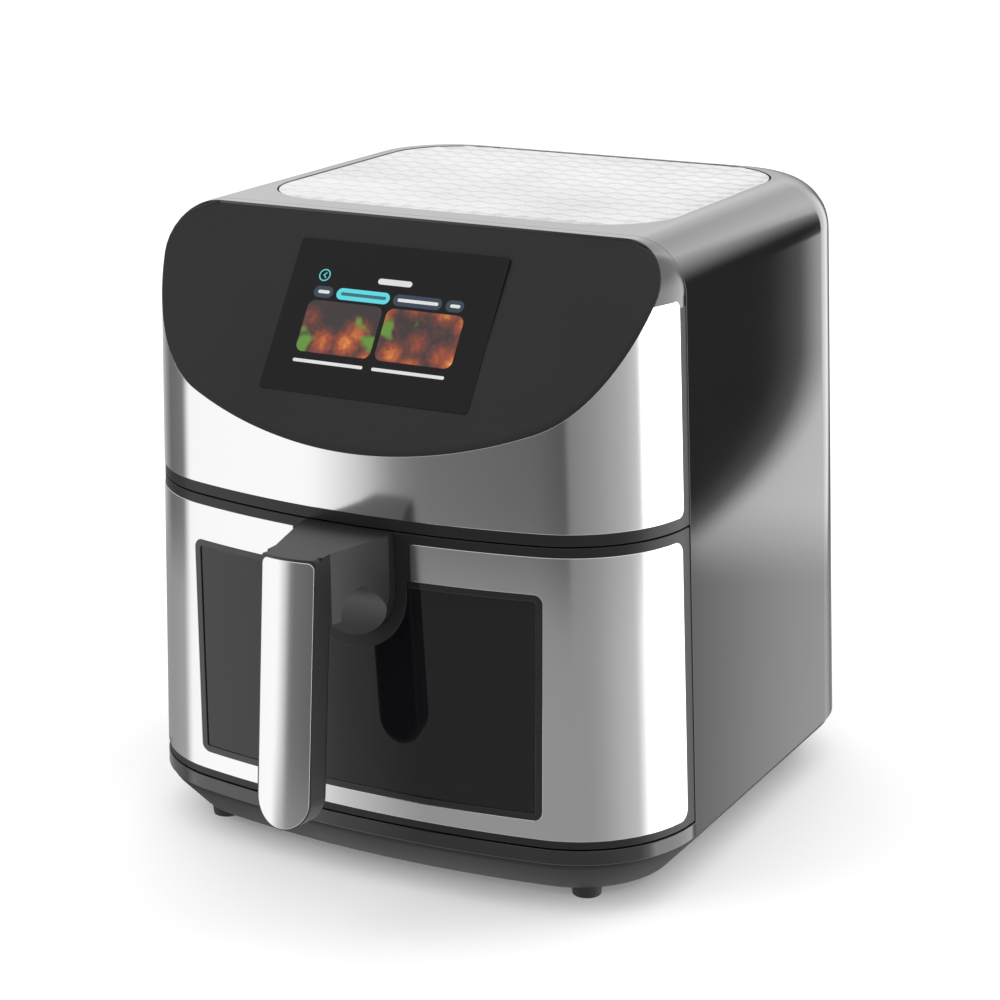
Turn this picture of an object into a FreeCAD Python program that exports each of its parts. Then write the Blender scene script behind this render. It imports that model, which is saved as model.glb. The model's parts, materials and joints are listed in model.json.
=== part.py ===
"""Drawer air fryer with a tilted touch display, a windowed drawer and a rear outlet.

Millimetres, +Z up. The origin is at the floor under the middle of the bounding box, the drawer
opens towards -Y and the object is symmetric about X = 0 except for a few inner parts.
"""
import FreeCAD, Part

import math
import os

V = FreeCAD.Vector

# ---------------------------------------------------------------- driving dimensions
FOOT_HEIGHT = 7.0
BASE_TOP = 27.0                # where the bevelled base meets the housing
TOP = 324.5
HALF_WIDTH = 151.5             # at BASE_TOP
SIDE_DRAFT = 0.0354            # half-width lost per mm of height
FRONT_Y = -117.5               # middle of the front at BASE_TOP
FRONT_LEAN = 0.0118            # the front comes forward by this per mm of height
BACK_Y = 187.0                 # at BASE_TOP
BACK_DRAFT = 0.0118
SEAM_Y = -45.0                 # plane where the front module meets the outer housing
CORNER_R = 65.0                # plan radius between the bowed front and the sides
REAR_CORNER_R = 60.0
TOP_FILLET_R = 26.0
WALL = 3.0
SKIN = 1.0                     # steel band thickness

DRAWER_BOTTOM = 34.8
DRAWER_TOP = 186.5
CLEARANCE = 0.7                # between the drawer and what is around it
LIP_TOP = DRAWER_BOTTOM - CLEARANCE
CARRIER_BOTTOM = DRAWER_TOP + CLEARANCE

DISPLAY_Y, DISPLAY_Z = -84.0, 278.7     # middle of the display glass
DISPLAY_TILT = 33.62                    # degrees back from the vertical
GLASS_W, GLASS_H = 116.6, 80.0
PANEL_T = 3.0

STEEL_EDGE_Y = -52.0           # rear edge of the upper steel band
UPPER_STEEL_Z = (193.3, 297.5)
LOWER_STEEL_EDGE_Y = -53.5
LOWER_STEEL_Z = (39.2, 181.4)
STEEL_GAP_HALF = 33.0          # half the gap in the lower band for the handle

WINDOW_HALF = 98.5
WINDOW_Z = (48.5, 163.0)
WINDOW_CORNER_R = 4.5
WINDOW_BORDER = 3.0
GLASS_SINK = 0.5               # the window glass lies this far below its border
TAB_R = 30.0                   # U-shaped tab that carries the handle
TAB_CENTRE_Z = 155.1

HANDLE_ROOT_HALF = 24.5
HANDLE_LEAN = 5.2              # degrees, foot of the grip forward
GRIP_HALF = 15.0
GRIP_DEPTH = 19.5
GRIP_TOP_FRONT_Y = -175.3
GRIP_LENGTH = 132.0
FACE_T = 1.2
FACE_HALF = 14.3
CROWN = 2.5
HANDLE_SCREWS = ((145.0, -121.0), (172.0, -138.0))     # height and depth of each tip

PAN_HALF, PAN_FRONT, PAN_BACK = 118.0, -98.0, 125.0
PAN_Z = (50.0, 165.0)
PAN_T = 1.2
PAN_R = 38.0
CRISPER_Z = 60.0
CRISPER_GAP = 2.5

LINER_HALF, LINER_BACK = 127.2, 136.0
LINER_Z = (41.0, 190.2)
LINER_T = 1.2

FAN_X, FAN_Y = 0.0, 46.0
DOME_R = 84.0
ELEMENT_R = (72.0, 58.0)        # centre lines of the two heating rings
TUBE_R = 3.3
IMPELLER_R = 44.0
DOME_TOP = 233.0
SHAFT_R = 4.0
RUNNING_GAP = 0.05
DUCT_HALF, DUCT_Z = 48.0, (212.0, 268.0)
GLAND_X, GLAND_Z = 92.0, 62.0

INLAY_HALF = 112.0
INLAY_Y = (-29.0, 156.5)
INLAY_R = 40.0
INLAY_GAP = 0.9
INLAY_DEPTH = 1.8

FOOT_X = 107.0
FOOT_Y = (-77.0, 150.0)
FOOT_R = 8.0
FAR = 400.0                    # larger than the object, for cutting blocks


# ---------------------------------------------------------------- small helpers
def block(x0, x1, y0, y1, z0, z1):
    """Box between two corners."""
    return Part.makeBox(x1 - x0, y1 - y0, z1 - z0, V(x0, y0, z0))


def cylinder(radius, start, end):
    """Cylinder from one point to another."""
    axis = end - start
    return Part.makeCylinder(radius, axis.Length, start, axis)


def polygon(points):
    return Part.Wire([Part.LineSegment(a, b).toShape() for a, b in zip(points, points[1:] + points[:1])])


def prism(wire, direction):
    return Part.Face(wire).extrude(direction)


def rounded_rectangle(u0, u1, v0, v1, radii, place):
    """Closed wire of a rectangle; radii go round from the (u0, v0) corner, place maps (u, v) to 3D."""
    corners = [(u0, v0, 1, 1), (u1, v0, -1, 1), (u1, v1, -1, -1), (u0, v1, 1, -1)]
    turns = [(0, 1, 1, 0), (1, 0, 0, 1), (0, 1, 1, 0), (1, 0, 0, 1)]
    starts, ends, arcs = [], [], []
    for (u, v, su, sv), radius, (au, av, bu, bv) in zip(corners, radii, turns):
        start = place(u + su * au * radius, v + sv * av * radius)
        end = place(u + su * bu * radius, v + sv * bv * radius)
        bulge = radius * (1 - math.sqrt(0.5))
        starts.append(start)
        ends.append(end)
        arcs.append(place(u + su * bulge, v + sv * bulge))
    edges = []
    for i, radius in enumerate(radii):
        if radius > 0:
            edges.append(Part.Arc(starts[i], arcs[i], ends[i]).toShape())
        follower = starts[(i + 1) % 4]
        if (follower - ends[i]).Length > 1e-6:
            edges.append(Part.LineSegment(ends[i], follower).toShape())
    return Part.Wire(edges)


def plan_slab(u0, u1, v0, v1, radius, z0, z1):
    """Rounded rectangle seen from above, between two heights."""
    wire = rounded_rectangle(u0, u1, v0, v1, [radius] * 4, lambda u, v: V(u, v, z0))
    return prism(wire, V(0, 0, z1 - z0))


def front_prism(u0, u1, v0, v1, radii, y0=-FAR, y1=SEAM_Y):
    """Rounded rectangle seen from the front, between two Y planes."""
    wire = rounded_rectangle(u0, u1, v0, v1, radii, lambda u, v: V(u, y0, v))
    return prism(wire, V(0, y1 - y0, 0))


def side_prism(u0, u1, v0, v1, radii):
    """Rounded rectangle seen from the side, right across the object."""
    wire = rounded_rectangle(u0, u1, v0, v1, radii, lambda u, v: V(-FAR, u, v))
    return prism(wire, V(2 * FAR, 0, 0))


def u_prism(half, centre_z, top_z, y0, y1):
    """U seen from the front: half a disc below a straight part that ends at top_z."""
    left, right = V(-half, y0, centre_z), V(half, y0, centre_z)
    edges = [
        Part.Arc(left, V(0, y0, centre_z - half), right).toShape(),
        Part.LineSegment(right, V(half, y0, top_z)).toShape(),
        Part.LineSegment(V(half, y0, top_z), V(-half, y0, top_z)).toShape(),
        Part.LineSegment(V(-half, y0, top_z), left).toShape(),
    ]
    return prism(Part.Wire(edges), V(0, y1 - y0, 0))


def ring(outer_r, inner_r, x, y, z0, z1):
    outer = Part.makeCylinder(outer_r, z1 - z0, V(x, y, z0))
    return outer.cut(Part.makeCylinder(inner_r, z1 - z0, V(x, y, z0)))


def polar(count, radius, start=0.0):
    """Points (x, y) round the fan axis."""
    angles = [math.radians(start + 360.0 * i / count) for i in range(count)]
    return [(FAN_X + radius * math.cos(a), FAN_Y + radius * math.sin(a)) for a in angles]


def screw(tip, head_end, shank_r, head_r, head_t):
    """Plain screw whose head finishes at head_end."""
    axis = (head_end - tip).normalize()
    neck = head_end - axis * head_t
    return cylinder(shank_r, tip, neck + axis * 0.01).fuse(cylinder(head_r, neck, head_end))


# ---------------------------------------------------------------- the body's outer form
def outline(z, inset):
    """Plan outline of the body at a height: bowed front, straight sides, rounded rear corners."""
    rise = z - BASE_TOP
    half = HALF_WIDTH - SIDE_DRAFT * rise
    front = FRONT_Y - FRONT_LEAN * rise
    back = BACK_Y - BACK_DRAFT * rise
    corner_x = half - CORNER_R
    depth = SEAM_Y - front
    bow_r = (corner_x ** 2 + depth ** 2 - CORNER_R ** 2) / (2 * (depth - CORNER_R))
    bow_centre = front + bow_r
    turn = math.asin(corner_x / (bow_r - CORNER_R))

    def bow(angle):
        return V((bow_r - inset) * math.sin(angle), bow_centre - (bow_r - inset) * math.cos(angle), z)

    def corner(side, angle):
        radius = CORNER_R - inset
        return V(side * (corner_x + radius * math.sin(angle)), SEAM_Y - radius * math.cos(angle), z)

    def rear(side, angle):
        radius = REAR_CORNER_R - inset
        centre_x, centre_y = half - REAR_CORNER_R, back - REAR_CORNER_R
        return V(side * (centre_x + radius * math.cos(angle)), centre_y + radius * math.sin(angle), z)

    quarter = math.pi / 2
    middle = (turn + quarter) / 2
    edges = [
        Part.Arc(bow(-turn), bow(0), bow(turn)).toShape(),
        Part.Arc(bow(turn), corner(1, middle), corner(1, quarter)).toShape(),
        Part.LineSegment(corner(1, quarter), rear(1, 0)).toShape(),
        Part.Arc(rear(1, 0), rear(1, quarter / 2), rear(1, quarter)).toShape(),
        Part.LineSegment(rear(1, quarter), rear(-1, quarter)).toShape(),
        Part.Arc(rear(-1, quarter), rear(-1, quarter / 2), rear(-1, 0)).toShape(),
        Part.LineSegment(rear(-1, 0), corner(-1, quarter)).toShape(),
        Part.Arc(corner(-1, quarter), corner(-1, middle), bow(-turn)).toShape(),
    ]
    return Part.Wire(edges)


def body_form(inset, bottom=BASE_TOP):
    """Closed form of the whole body, inset from its outer surface, with the large top fillet."""
    top = TOP - inset
    form = Part.makeLoft([outline(bottom, inset), outline(top, inset)], True, True)
    top_edges = [e for e in form.Edges if min(v.Z for v in e.Vertexes) > top - 0.01]
    return form.makeFillet(TOP_FILLET_R - inset, top_edges)


def display_plane_point(across, up, out=0.0):
    """Point on the tilted display plane: across in X, up the slope, out along its normal."""
    tilt = math.radians(DISPLAY_TILT)
    y = DISPLAY_Y + up * math.sin(tilt) - out * math.cos(tilt)
    z = DISPLAY_Z + up * math.cos(tilt) + out * math.sin(tilt)
    return V(across, y, z)


def display_slab(half_w, half_h, out0, out1, radius=0.0):
    """Rounded slab parallel to the display, between two distances along its normal."""
    wire = rounded_rectangle(-half_w, half_w, -half_h, half_h, [radius] * 4,
                             lambda u, v: display_plane_point(u, v, out0))
    return prism(wire, display_plane_point(0, 0, out1) - display_plane_point(0, 0, out0))


def rim_cut():
    """Everything above the plane where the upper steel band ends below the control panel."""
    low_y, low_z = -120.0, 222.3
    slope = (DISPLAY_Z - low_z) / (DISPLAY_Y - low_y)
    points = [V(-FAR, low_y - 60, low_z - 60 * slope), V(-FAR, DISPLAY_Y + 60, DISPLAY_Z + 60 * slope),
              V(-FAR, DISPLAY_Y + 60, FAR + 100), V(-FAR, low_y - 60, FAR + 100)]
    return prism(polygon(points), V(2 * FAR, 0, 0))


OUTER = body_form(0.0)
UNDER_SKIN = body_form(SKIN, BASE_TOP - 5)
UNDER_GLASS = body_form(GLASS_SINK, BASE_TOP - 5)
INNER = body_form(WALL, BASE_TOP - 5)
ABOVE_PANEL = display_slab(FAR, FAR, 0.0, FAR)
BEHIND_SEAM = block(-FAR, FAR, SEAM_Y, FAR, -10, FAR + 100)


# ---------------------------------------------------------------- fixed body: shells
def outer_housing():
    """Sides, back and top in one shell, with the lip that runs round below the drawer."""
    shell = OUTER.cut(INNER)
    shell = shell.cut(block(-FAR, FAR, -FAR, SEAM_Y, LIP_TOP, FAR))
    shell = shell.cut(inlay_form(INLAY_GAP, TOP - INLAY_DEPTH, TOP + 5))
    shell = shell.cut(front_prism(-DUCT_HALF, DUCT_HALF, *DUCT_Z, [4] * 4, 100, FAR))
    return shell.cut(Part.makeCylinder(7.0, FAR, V(GLAND_X, 100, GLAND_Z), V(0, 1, 0)))


def inlay_form(grow, z0, z1):
    return plan_slab(-INLAY_HALF - grow, INLAY_HALF + grow, INLAY_Y[0] - grow, INLAY_Y[1] + grow,
                     INLAY_R + grow, z0, z1)


def top_inlay():
    """Panel with a woven relief, let into the top: pads in alternate rows on a thin sheet."""
    sheet = inlay_form(0, TOP - INLAY_DEPTH, TOP - 0.4)
    rib_form = inlay_form(-1.5, TOP - 0.4, TOP + 0.5)
    pitch = 12.5
    ribs = []
    row = INLAY_Y[0] + pitch
    while row < INLAY_Y[1] - pitch / 2:
        ribs.append(block(-FAR, FAR, row - 2.5, row + 2.5, TOP - 0.5, TOP + 0.5))
        row += pitch
    return sheet.fuse(Part.makeCompound(ribs).common(rib_form)).removeSplitter()


def carrier_block():
    return block(-FAR, FAR, -FAR, SEAM_Y - 0.1, CARRIER_BOTTOM, FAR)


def steel_region(edge_y, heights, corner_r):
    """Prism across the object that bounds a steel band; its rear corners are rounded."""
    return side_prism(-FAR, edge_y, *heights, [0, corner_r, corner_r, 0])


def upper_steel_region():
    return steel_region(STEEL_EDGE_Y, UPPER_STEEL_Z, 4.0).cut(rim_cut())


def front_frame():
    """Black carrier of the upper front: arch beside the panel, strips round the steel, and floor."""
    shell = OUTER.cut(INNER)
    floor = INNER.common(block(-FAR, FAR, -FAR, FAR, CARRIER_BOTTOM, CARRIER_BOTTOM + WALL))
    frame = shell.fuse(floor).common(carrier_block())
    frame = frame.cut(display_slab(FAR, FAR, -PANEL_T, FAR))
    skin = OUTER.cut(UNDER_SKIN).common(upper_steel_region())
    return frame.cut(skin)


def upper_steel_band():
    return OUTER.cut(UNDER_SKIN).common(upper_steel_region()).cut(display_slab(FAR, FAR, -PANEL_T, FAR))


def control_panel():
    """Flat D-shaped plate over the whole tilted section, with a seat for the display glass."""
    slab = display_slab(FAR, 150, -PANEL_T, 0.0)
    plate = OUTER.common(slab).common(carrier_block())
    plate = plate.cut(display_slab(GLASS_W / 2 + 0.15, GLASS_H / 2 + 0.15, -1.6, 1.0, 2.15))
    return plate.cut(display_slab(GLASS_W / 2 - 4, GLASS_H / 2 - 4, -FAR / 10, 0.0, 1.0))


def display_glass():
    return display_slab(GLASS_W / 2, GLASS_H / 2, -1.5, 0.3, 2.0)


def lcd_module():
    return display_slab(53.0, 34.5, -6.0, -1.6, 1.0)


def control_board():
    board = display_slab(66.0, 40.0, -12.0, -10.4, 2.0)
    chips = ((-35, -18, 12, 9, 4), (20, 14, 9, 9, 2), (30, -20, 14, 6, 5))
    for across, up, half_u, half_v, height in chips:
        chip = display_slab(half_u, half_v, -12.0 - height, -12.0)
        chip.translate(display_plane_point(across, up) - display_plane_point(0, 0))
        board = board.fuse(chip)
    posts = [cylinder(2.5, display_plane_point(x, up, -10.4), display_plane_point(x, up, -PANEL_T))
             for x in (-61, 61)
             for up in (-30, 30)]
    return board.fuse(posts)


def drawer_sill():
    """Floor in front of the cavity that closes the base below the drawer."""
    return INNER.common(block(-FAR, FAR, -FAR, SEAM_Y + 2, LIP_TOP - 2.5, LIP_TOP))


def front_bulkhead():
    """Upright plate at the seam, round the mouth of the cavity."""
    plate = INNER.common(block(-FAR, FAR, SEAM_Y, SEAM_Y + 2, LIP_TOP, CARRIER_BOTTOM + WALL))
    plate = plate.cut(block(-LINER_HALF + 1, LINER_HALF - 1, -FAR, FAR, LINER_Z[0] + 1, FAR))
    return plate.cut(front_prism(132, 141, 118, 126, [1] * 4, SEAM_Y - 5, SEAM_Y + 5))


def base_form(inset):
    top = outline(BASE_TOP, 1.2 + inset)
    low = outline(BASE_TOP, 19.0 + inset)
    low.translate(V(0, 0, FOOT_HEIGHT - BASE_TOP + inset))
    return Part.makeLoft([low, top], True, True)


def base_tray():
    """Bevelled underside with air slots and holes for the screws."""
    tray = base_form(0.0).cut(base_form(2.5))
    slots = [block(-45, 45, y - 2, y + 2, 0, 15) for y in range(-10, 81, 10)]
    holes = [Part.makeCylinder(1.8, 15, V(x, y, 0)) for x, y in foot_places() + base_screw_places()]
    return tray.cut(Part.makeCompound(slots)).cut(Part.makeCompound(holes))


def foot_places():
    return [(x, y) for y in FOOT_Y for x in (-FOOT_X, FOOT_X)]


def base_screw_places():
    return [(x, y) for y in (-40.0, 110.0) for x in (-118.0, 118.0)]


def foot(x, y):
    """Rubber foot with a recess for its screw."""
    body = Part.makeCone(FOOT_R - 0.8, FOOT_R, FOOT_HEIGHT, V(x, y, 0))
    body = body.cut(Part.makeCylinder(4.2, 3.0, V(x, y, 0)))
    return body.cut(Part.makeCylinder(1.8, FOOT_HEIGHT, V(x, y, 0)))


def foot_screws():
    screws = [screw(V(x, y, 16), V(x, y, 1.2), 1.5, 3.5, 1.8) for x, y in foot_places()]
    return Part.makeCompound(screws)


def base_screws():
    head = FOOT_HEIGHT - 2
    screws = [screw(V(x, y, 20), V(x, y, head), 1.5, 3.5, 2.0) for x, y in base_screw_places()]
    return Part.makeCompound(screws)


# ---------------------------------------------------------------- fixed body: cavity and heating
def cavity_liner():
    """Sheet-steel box open towards the drawer, with a round hole under the fan dome."""
    box = block(-LINER_HALF, LINER_HALF, SEAM_Y + 2, LINER_BACK, *LINER_Z)
    hollow = block(-LINER_HALF + LINER_T, LINER_HALF - LINER_T, -FAR, LINER_BACK - LINER_T,
                   LINER_Z[0] + LINER_T, LINER_Z[1] - LINER_T)
    hole = Part.makeCylinder(DOME_R - LINER_T, 60, V(FAN_X, FAN_Y, LINER_Z[1] - 30))
    return box.cut(hollow).cut(hole)


def guide_rail(side):
    """Ledge on the cavity wall that carries the rim of the pan."""
    x0 = LINER_HALF - LINER_T
    shelf = block(x0 - 6.0, x0, SEAM_Y + 6, LINER_BACK - 8, PAN_Z[1] - 6.2, PAN_Z[1] - 4.2)
    web = block(x0 - 1.5, x0, SEAM_Y + 6, LINER_BACK - 8, PAN_Z[1] - 16, PAN_Z[1] - 6.2)
    rail = shelf.fuse(web)
    return rail if side > 0 else rail.mirror(V(0, 0, 0), V(1, 0, 0))


def fan_dome():
    """Drawn bowl over the hot-air fan, with a flange on the cavity roof."""
    base = LINER_Z[1]
    wall = Part.makeCylinder(DOME_R, DOME_TOP - base, V(FAN_X, FAN_Y, base))
    wall = wall.fuse(Part.makeCylinder(DOME_R + 8, 1.2, V(FAN_X, FAN_Y, base)))
    wall = wall.cut(Part.makeCylinder(DOME_R - LINER_T, DOME_TOP - base - LINER_T, V(FAN_X, FAN_Y, base)))
    return wall.cut(Part.makeCylinder(SHAFT_R + 3, 20, V(FAN_X, FAN_Y, DOME_TOP - 10)))


def element_guard():
    """Grille under the heating element: flat rings and spokes, with two lugs to the cavity roof."""
    z0, z1 = LINER_Z[1] - 4.2, LINER_Z[1] - 2.2
    reach = DOME_R - 3
    rings = [ring(r + 1.0, r - 1.0, FAN_X, FAN_Y, z0, z1) for r in (16, 32, 48, 64, reach - 1)]
    spokes = [block(FAN_X - reach, FAN_X + reach, FAN_Y - 1, FAN_Y + 1, z0, z1),
              block(FAN_X - 1, FAN_X + 1, FAN_Y - reach, FAN_Y + reach, z0, z1)]
    lugs = []
    for side in (-1, 1):
        x = FAN_X + side * (reach + 4)
        stem = x + side * 2
        lugs.append(block(x - 5, x + 5, FAN_Y - 4, FAN_Y + 4, z0, z1))
        lugs.append(block(stem - 1.5, stem + 1.5, FAN_Y - 4, FAN_Y + 4, z1, LINER_Z[1] - LINER_T))
    return rings[0].fuse(rings[1:] + spokes + lugs)


def element_height():
    return LINER_Z[1] + 9


def heating_element():
    """Two tubular rings joined by bridges, with one cold end up through the dome."""
    z = element_height()
    outer, inner = ELEMENT_R
    rings = [Part.makeTorus(r, TUBE_R, V(FAN_X, FAN_Y, z)) for r in ELEMENT_R]
    bridges = [cylinder(TUBE_R, V(FAN_X + side * inner, FAN_Y, z), V(FAN_X + side * outer, FAN_Y, z))
               for side in (-1, 1)]
    middle = (outer + inner) / 2
    end = cylinder(TUBE_R - 0.3, V(FAN_X - middle, FAN_Y, z), V(FAN_X - middle, FAN_Y, DOME_TOP - LINER_T))
    return rings[0].fuse([rings[1], end] + bridges)


def heater_clips():
    """Straps that hang the element from the dome."""
    z0, z1 = element_height() + TUBE_R + 0.1, DOME_TOP - LINER_T
    middle = sum(ELEMENT_R) / 2
    return Part.makeCompound([block(x - 4, x + 4, y - 4, y + 4, z0, z1) for x, y in polar(3, middle, 30)])


def temperature_probe():
    """Probe that dips into the air stream beside the fan."""
    x, y = polar(1, 52, 30)[0]
    head = cylinder(5.0, V(x, y, DOME_TOP), V(x, y, DOME_TOP + 6))
    tip = cylinder(2.0, V(x, y, LINER_Z[1] + 36), V(x, y, DOME_TOP - LINER_T))
    return Part.makeCompound([tip, head])


def thermal_cutoff():
    x, y = FAN_X - 58, FAN_Y + 12
    can = cylinder(8.0, V(x, y, DOME_TOP), V(x, y, DOME_TOP + 9))
    return can.fuse([block(x - 10, x - 7, y - 2, y + 2, DOME_TOP, DOME_TOP + 14),
                     block(x + 7, x + 10, y - 2, y + 2, DOME_TOP, DOME_TOP + 14)])


def heat_shield():
    """Plate above the dome on short posts; it keeps the heat off the top cover."""
    z = DOME_TOP + 16
    plate = plan_slab(-100, 100, FAN_Y - 82, FAN_Y + 88, 20, z, z + 1.2)
    plate = plate.cut(Part.makeCylinder(14, 20, V(FAN_X, FAN_Y, z - 5)))
    posts = [cylinder(3.0, V(x, y, DOME_TOP), V(x, y, z)) for x, y in polar(4, 72, 45)]
    return plate.fuse(posts)


def motor_bracket():
    """Bridge that carries the motor above the cooling fan."""
    low, high = DOME_TOP + 17.2, DOME_TOP + 38
    top = block(-84, 84, FAN_Y - 16, FAN_Y + 16, high, high + 2).cut(
        Part.makeCylinder(12, 20, V(FAN_X, FAN_Y, high - 5)))
    legs = [block(x - 1, x + 1, FAN_Y - 16, FAN_Y + 16, low, high) for x in (-83, 83)]
    toes = [block(-92, -84, FAN_Y - 16, FAN_Y + 16, low, low + 2),
            block(84, 92, FAN_Y - 16, FAN_Y + 16, low, low + 2)]
    return top.fuse(legs + toes)


def fan_motor():
    """Shaded-pole motor: laminated block, coil and end caps, bored for the shaft."""
    z0 = DOME_TOP + 40
    stack = block(-30, 30, FAN_Y - 28, FAN_Y + 28, z0 + 6, z0 + 26)
    caps = Part.makeCylinder(20, 34, V(FAN_X, FAN_Y, z0))
    coil = block(-20, 20, FAN_Y + 28, FAN_Y + 46, z0 + 2, z0 + 30)
    motor = stack.fuse([caps, coil])
    return motor.cut(Part.makeCylinder(SHAFT_R + RUNNING_GAP, 60, V(FAN_X, FAN_Y, z0 - 10)))


def power_board():
    """Supply and relay board on the back of the cavity."""
    y = LINER_BACK + 6
    board = block(-110, -20, y, y + 1.6, 90, 180)
    parts = [block(-100, -78, y + 1.6, y + 18, 140, 170), block(-60, -38, y + 1.6, y + 16, 100, 120),
             cylinder(7, V(-88, y + 1.6, 112), V(-88, y + 24, 112)),
             block(-70, -45, y + 1.6, y + 20, 138, 165)]
    posts = [cylinder(3, V(x, LINER_BACK, z), V(x, y, z)) for x in (-105, -25) for z in (95, 175)]
    return board.fuse(parts + posts)


def exhaust_duct():
    """Rectangular channel from the fan chamber to the rear outlet."""
    y0, y1 = 138.0, 180.0
    outer = front_prism(-DUCT_HALF + 1, DUCT_HALF - 1, DUCT_Z[0] + 1, DUCT_Z[1] - 1, [4] * 4, y0, y1)
    inner = front_prism(-DUCT_HALF + 2.8, DUCT_HALF - 2.8, DUCT_Z[0] + 2.8, DUCT_Z[1] - 2.8, [3] * 4,
                        y0, y1)
    return outer.cut(inner)


def rear_vent_grille():
    """Louvred outlet let into the back of the housing."""
    y0, y1 = 180.0, 185.0
    frame = front_prism(-DUCT_HALF, DUCT_HALF, *DUCT_Z, [4] * 4, y0 + 1.5, y1 - 0.8)
    frame = frame.cut(front_prism(-DUCT_HALF + 4, DUCT_HALF - 4, DUCT_Z[0] + 4, DUCT_Z[1] - 4, [3] * 4,
                                  y0, y1))
    thick, count = 1.8, 4
    low, high = DUCT_Z[0] + 4, DUCT_Z[1] - 4
    pitch = (high - low + thick) / (count + 1)
    louvres = []
    for i in range(count):
        z = low - thick + pitch * (i + 1)
        louvres.append(block(-DUCT_HALF + 4, DUCT_HALF - 4, y0 + 1.6, y1 - 1.4, z, z + thick))
    return Part.makeCompound([frame] + louvres)


def cable_gland():
    """Inlet for the supply cord in the lower back wall."""
    inner_y = 180.0
    body = cylinder(6.9, V(GLAND_X, inner_y, GLAND_Z), V(GLAND_X, 186.4, GLAND_Z))
    body = body.fuse(cylinder(9.0, V(GLAND_X, inner_y - 3, GLAND_Z), V(GLAND_X, inner_y + 2, GLAND_Z)))
    return body.cut(cylinder(3.6, V(GLAND_X, inner_y - 6, GLAND_Z), V(GLAND_X, 190, GLAND_Z)))


def door_switch():
    """Safety switch behind the bulkhead, pressed by a tab on the drawer."""
    body = block(131, 143, SEAM_Y + 12, SEAM_Y + 30, 116, 128)
    ears = block(131, 143, SEAM_Y + 2, SEAM_Y + 12, 113, 116)
    return body.fuse([ears, block(131, 143, SEAM_Y + 12, SEAM_Y + 30, 113, 116)])


# ---------------------------------------------------------------- rotor
def motor_shaft():
    return Part.makeCylinder(SHAFT_R, 108, V(FAN_X, FAN_Y, LINER_Z[1] + 10))


def hot_air_impeller():
    """Radial fan that draws air up through the grille."""
    z0 = LINER_Z[1] + 18
    disc = Part.makeCylinder(IMPELLER_R, 1.2, V(FAN_X, FAN_Y, z0 + 16))
    hub = Part.makeCylinder(9, 12, V(FAN_X, FAN_Y, z0 + 6))
    blades = []
    for i in range(10):
        blade = block(FAN_X + 18, FAN_X + IMPELLER_R, FAN_Y - 0.6, FAN_Y + 0.6, z0, z0 + 16)
        blade.rotate(V(FAN_X, FAN_Y, 0), V(0, 0, 1), 36 * i)
        blades.append(blade)
    fan = disc.fuse([hub] + blades)
    return fan.cut(Part.makeCylinder(SHAFT_R, 60, V(FAN_X, FAN_Y, z0 - 10)))


def impeller_nut():
    z1 = LINER_Z[1] + 24
    points = [V(x, y, z1 - 6) for x, y in polar(6, 7.0)]
    nut = prism(polygon(points), V(0, 0, 6))
    return nut.cut(Part.makeCylinder(SHAFT_R, 20, V(FAN_X, FAN_Y, z1 - 10)))


def cooling_fan():
    """Upper fan on the same shaft, which cools the motor and the top."""
    z0 = DOME_TOP + 20
    disc = Part.makeCylinder(60, 1.2, V(FAN_X, FAN_Y, z0))
    hub = Part.makeCylinder(9, 12, V(FAN_X, FAN_Y, z0))
    blades = []
    for i in range(12):
        blade = block(FAN_X + 24, FAN_X + 60, FAN_Y - 0.7, FAN_Y + 0.7, z0 + 1, z0 + 13)
        blade.rotate(V(FAN_X, FAN_Y, 0), V(0, 0, 1), 30 * i)
        blades.append(blade)
    fan = disc.fuse([hub] + blades)
    return fan.cut(Part.makeCylinder(SHAFT_R, 60, V(FAN_X, FAN_Y, z0 - 10)))


# ---------------------------------------------------------------- drawer
def drawer_block():
    return block(-FAR, FAR, -FAR, SEAM_Y - CLEARANCE, DRAWER_BOTTOM, DRAWER_TOP)


def lower_steel_region():
    """Loop band: whole front less the window and the gap above it."""
    region = steel_region(LOWER_STEEL_EDGE_Y, LOWER_STEEL_Z, 6.0)
    region = region.cut(window_form(0.0, -FAR, SEAM_Y))
    gap = front_prism(-STEEL_GAP_HALF, STEEL_GAP_HALF, WINDOW_Z[1] - 6, DRAWER_TOP, [0] * 4)
    return region.cut(gap)


def window_form(inset, y0, y1):
    return front_prism(-WINDOW_HALF + inset, WINDOW_HALF - inset, WINDOW_Z[0] + inset, WINDOW_Z[1] - inset,
                       [max(WINDOW_CORNER_R - inset, 1.0)] * 4, y0, y1)


def tab_form(grow, y0=-FAR, y1=SEAM_Y):
    return u_prism(TAB_R + grow, TAB_CENTRE_Z, FAR, y0, y1)


def pan_plan(grow, z0, z1):
    return plan_slab(-PAN_HALF - grow, PAN_HALF + grow, PAN_FRONT - grow, PAN_BACK + grow, PAN_R + grow,
                     z0, z1)


def drawer_bosses():
    return [(x, z) for z in (62.0, 160.0) for x in (-134.0, 134.0)]


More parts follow.
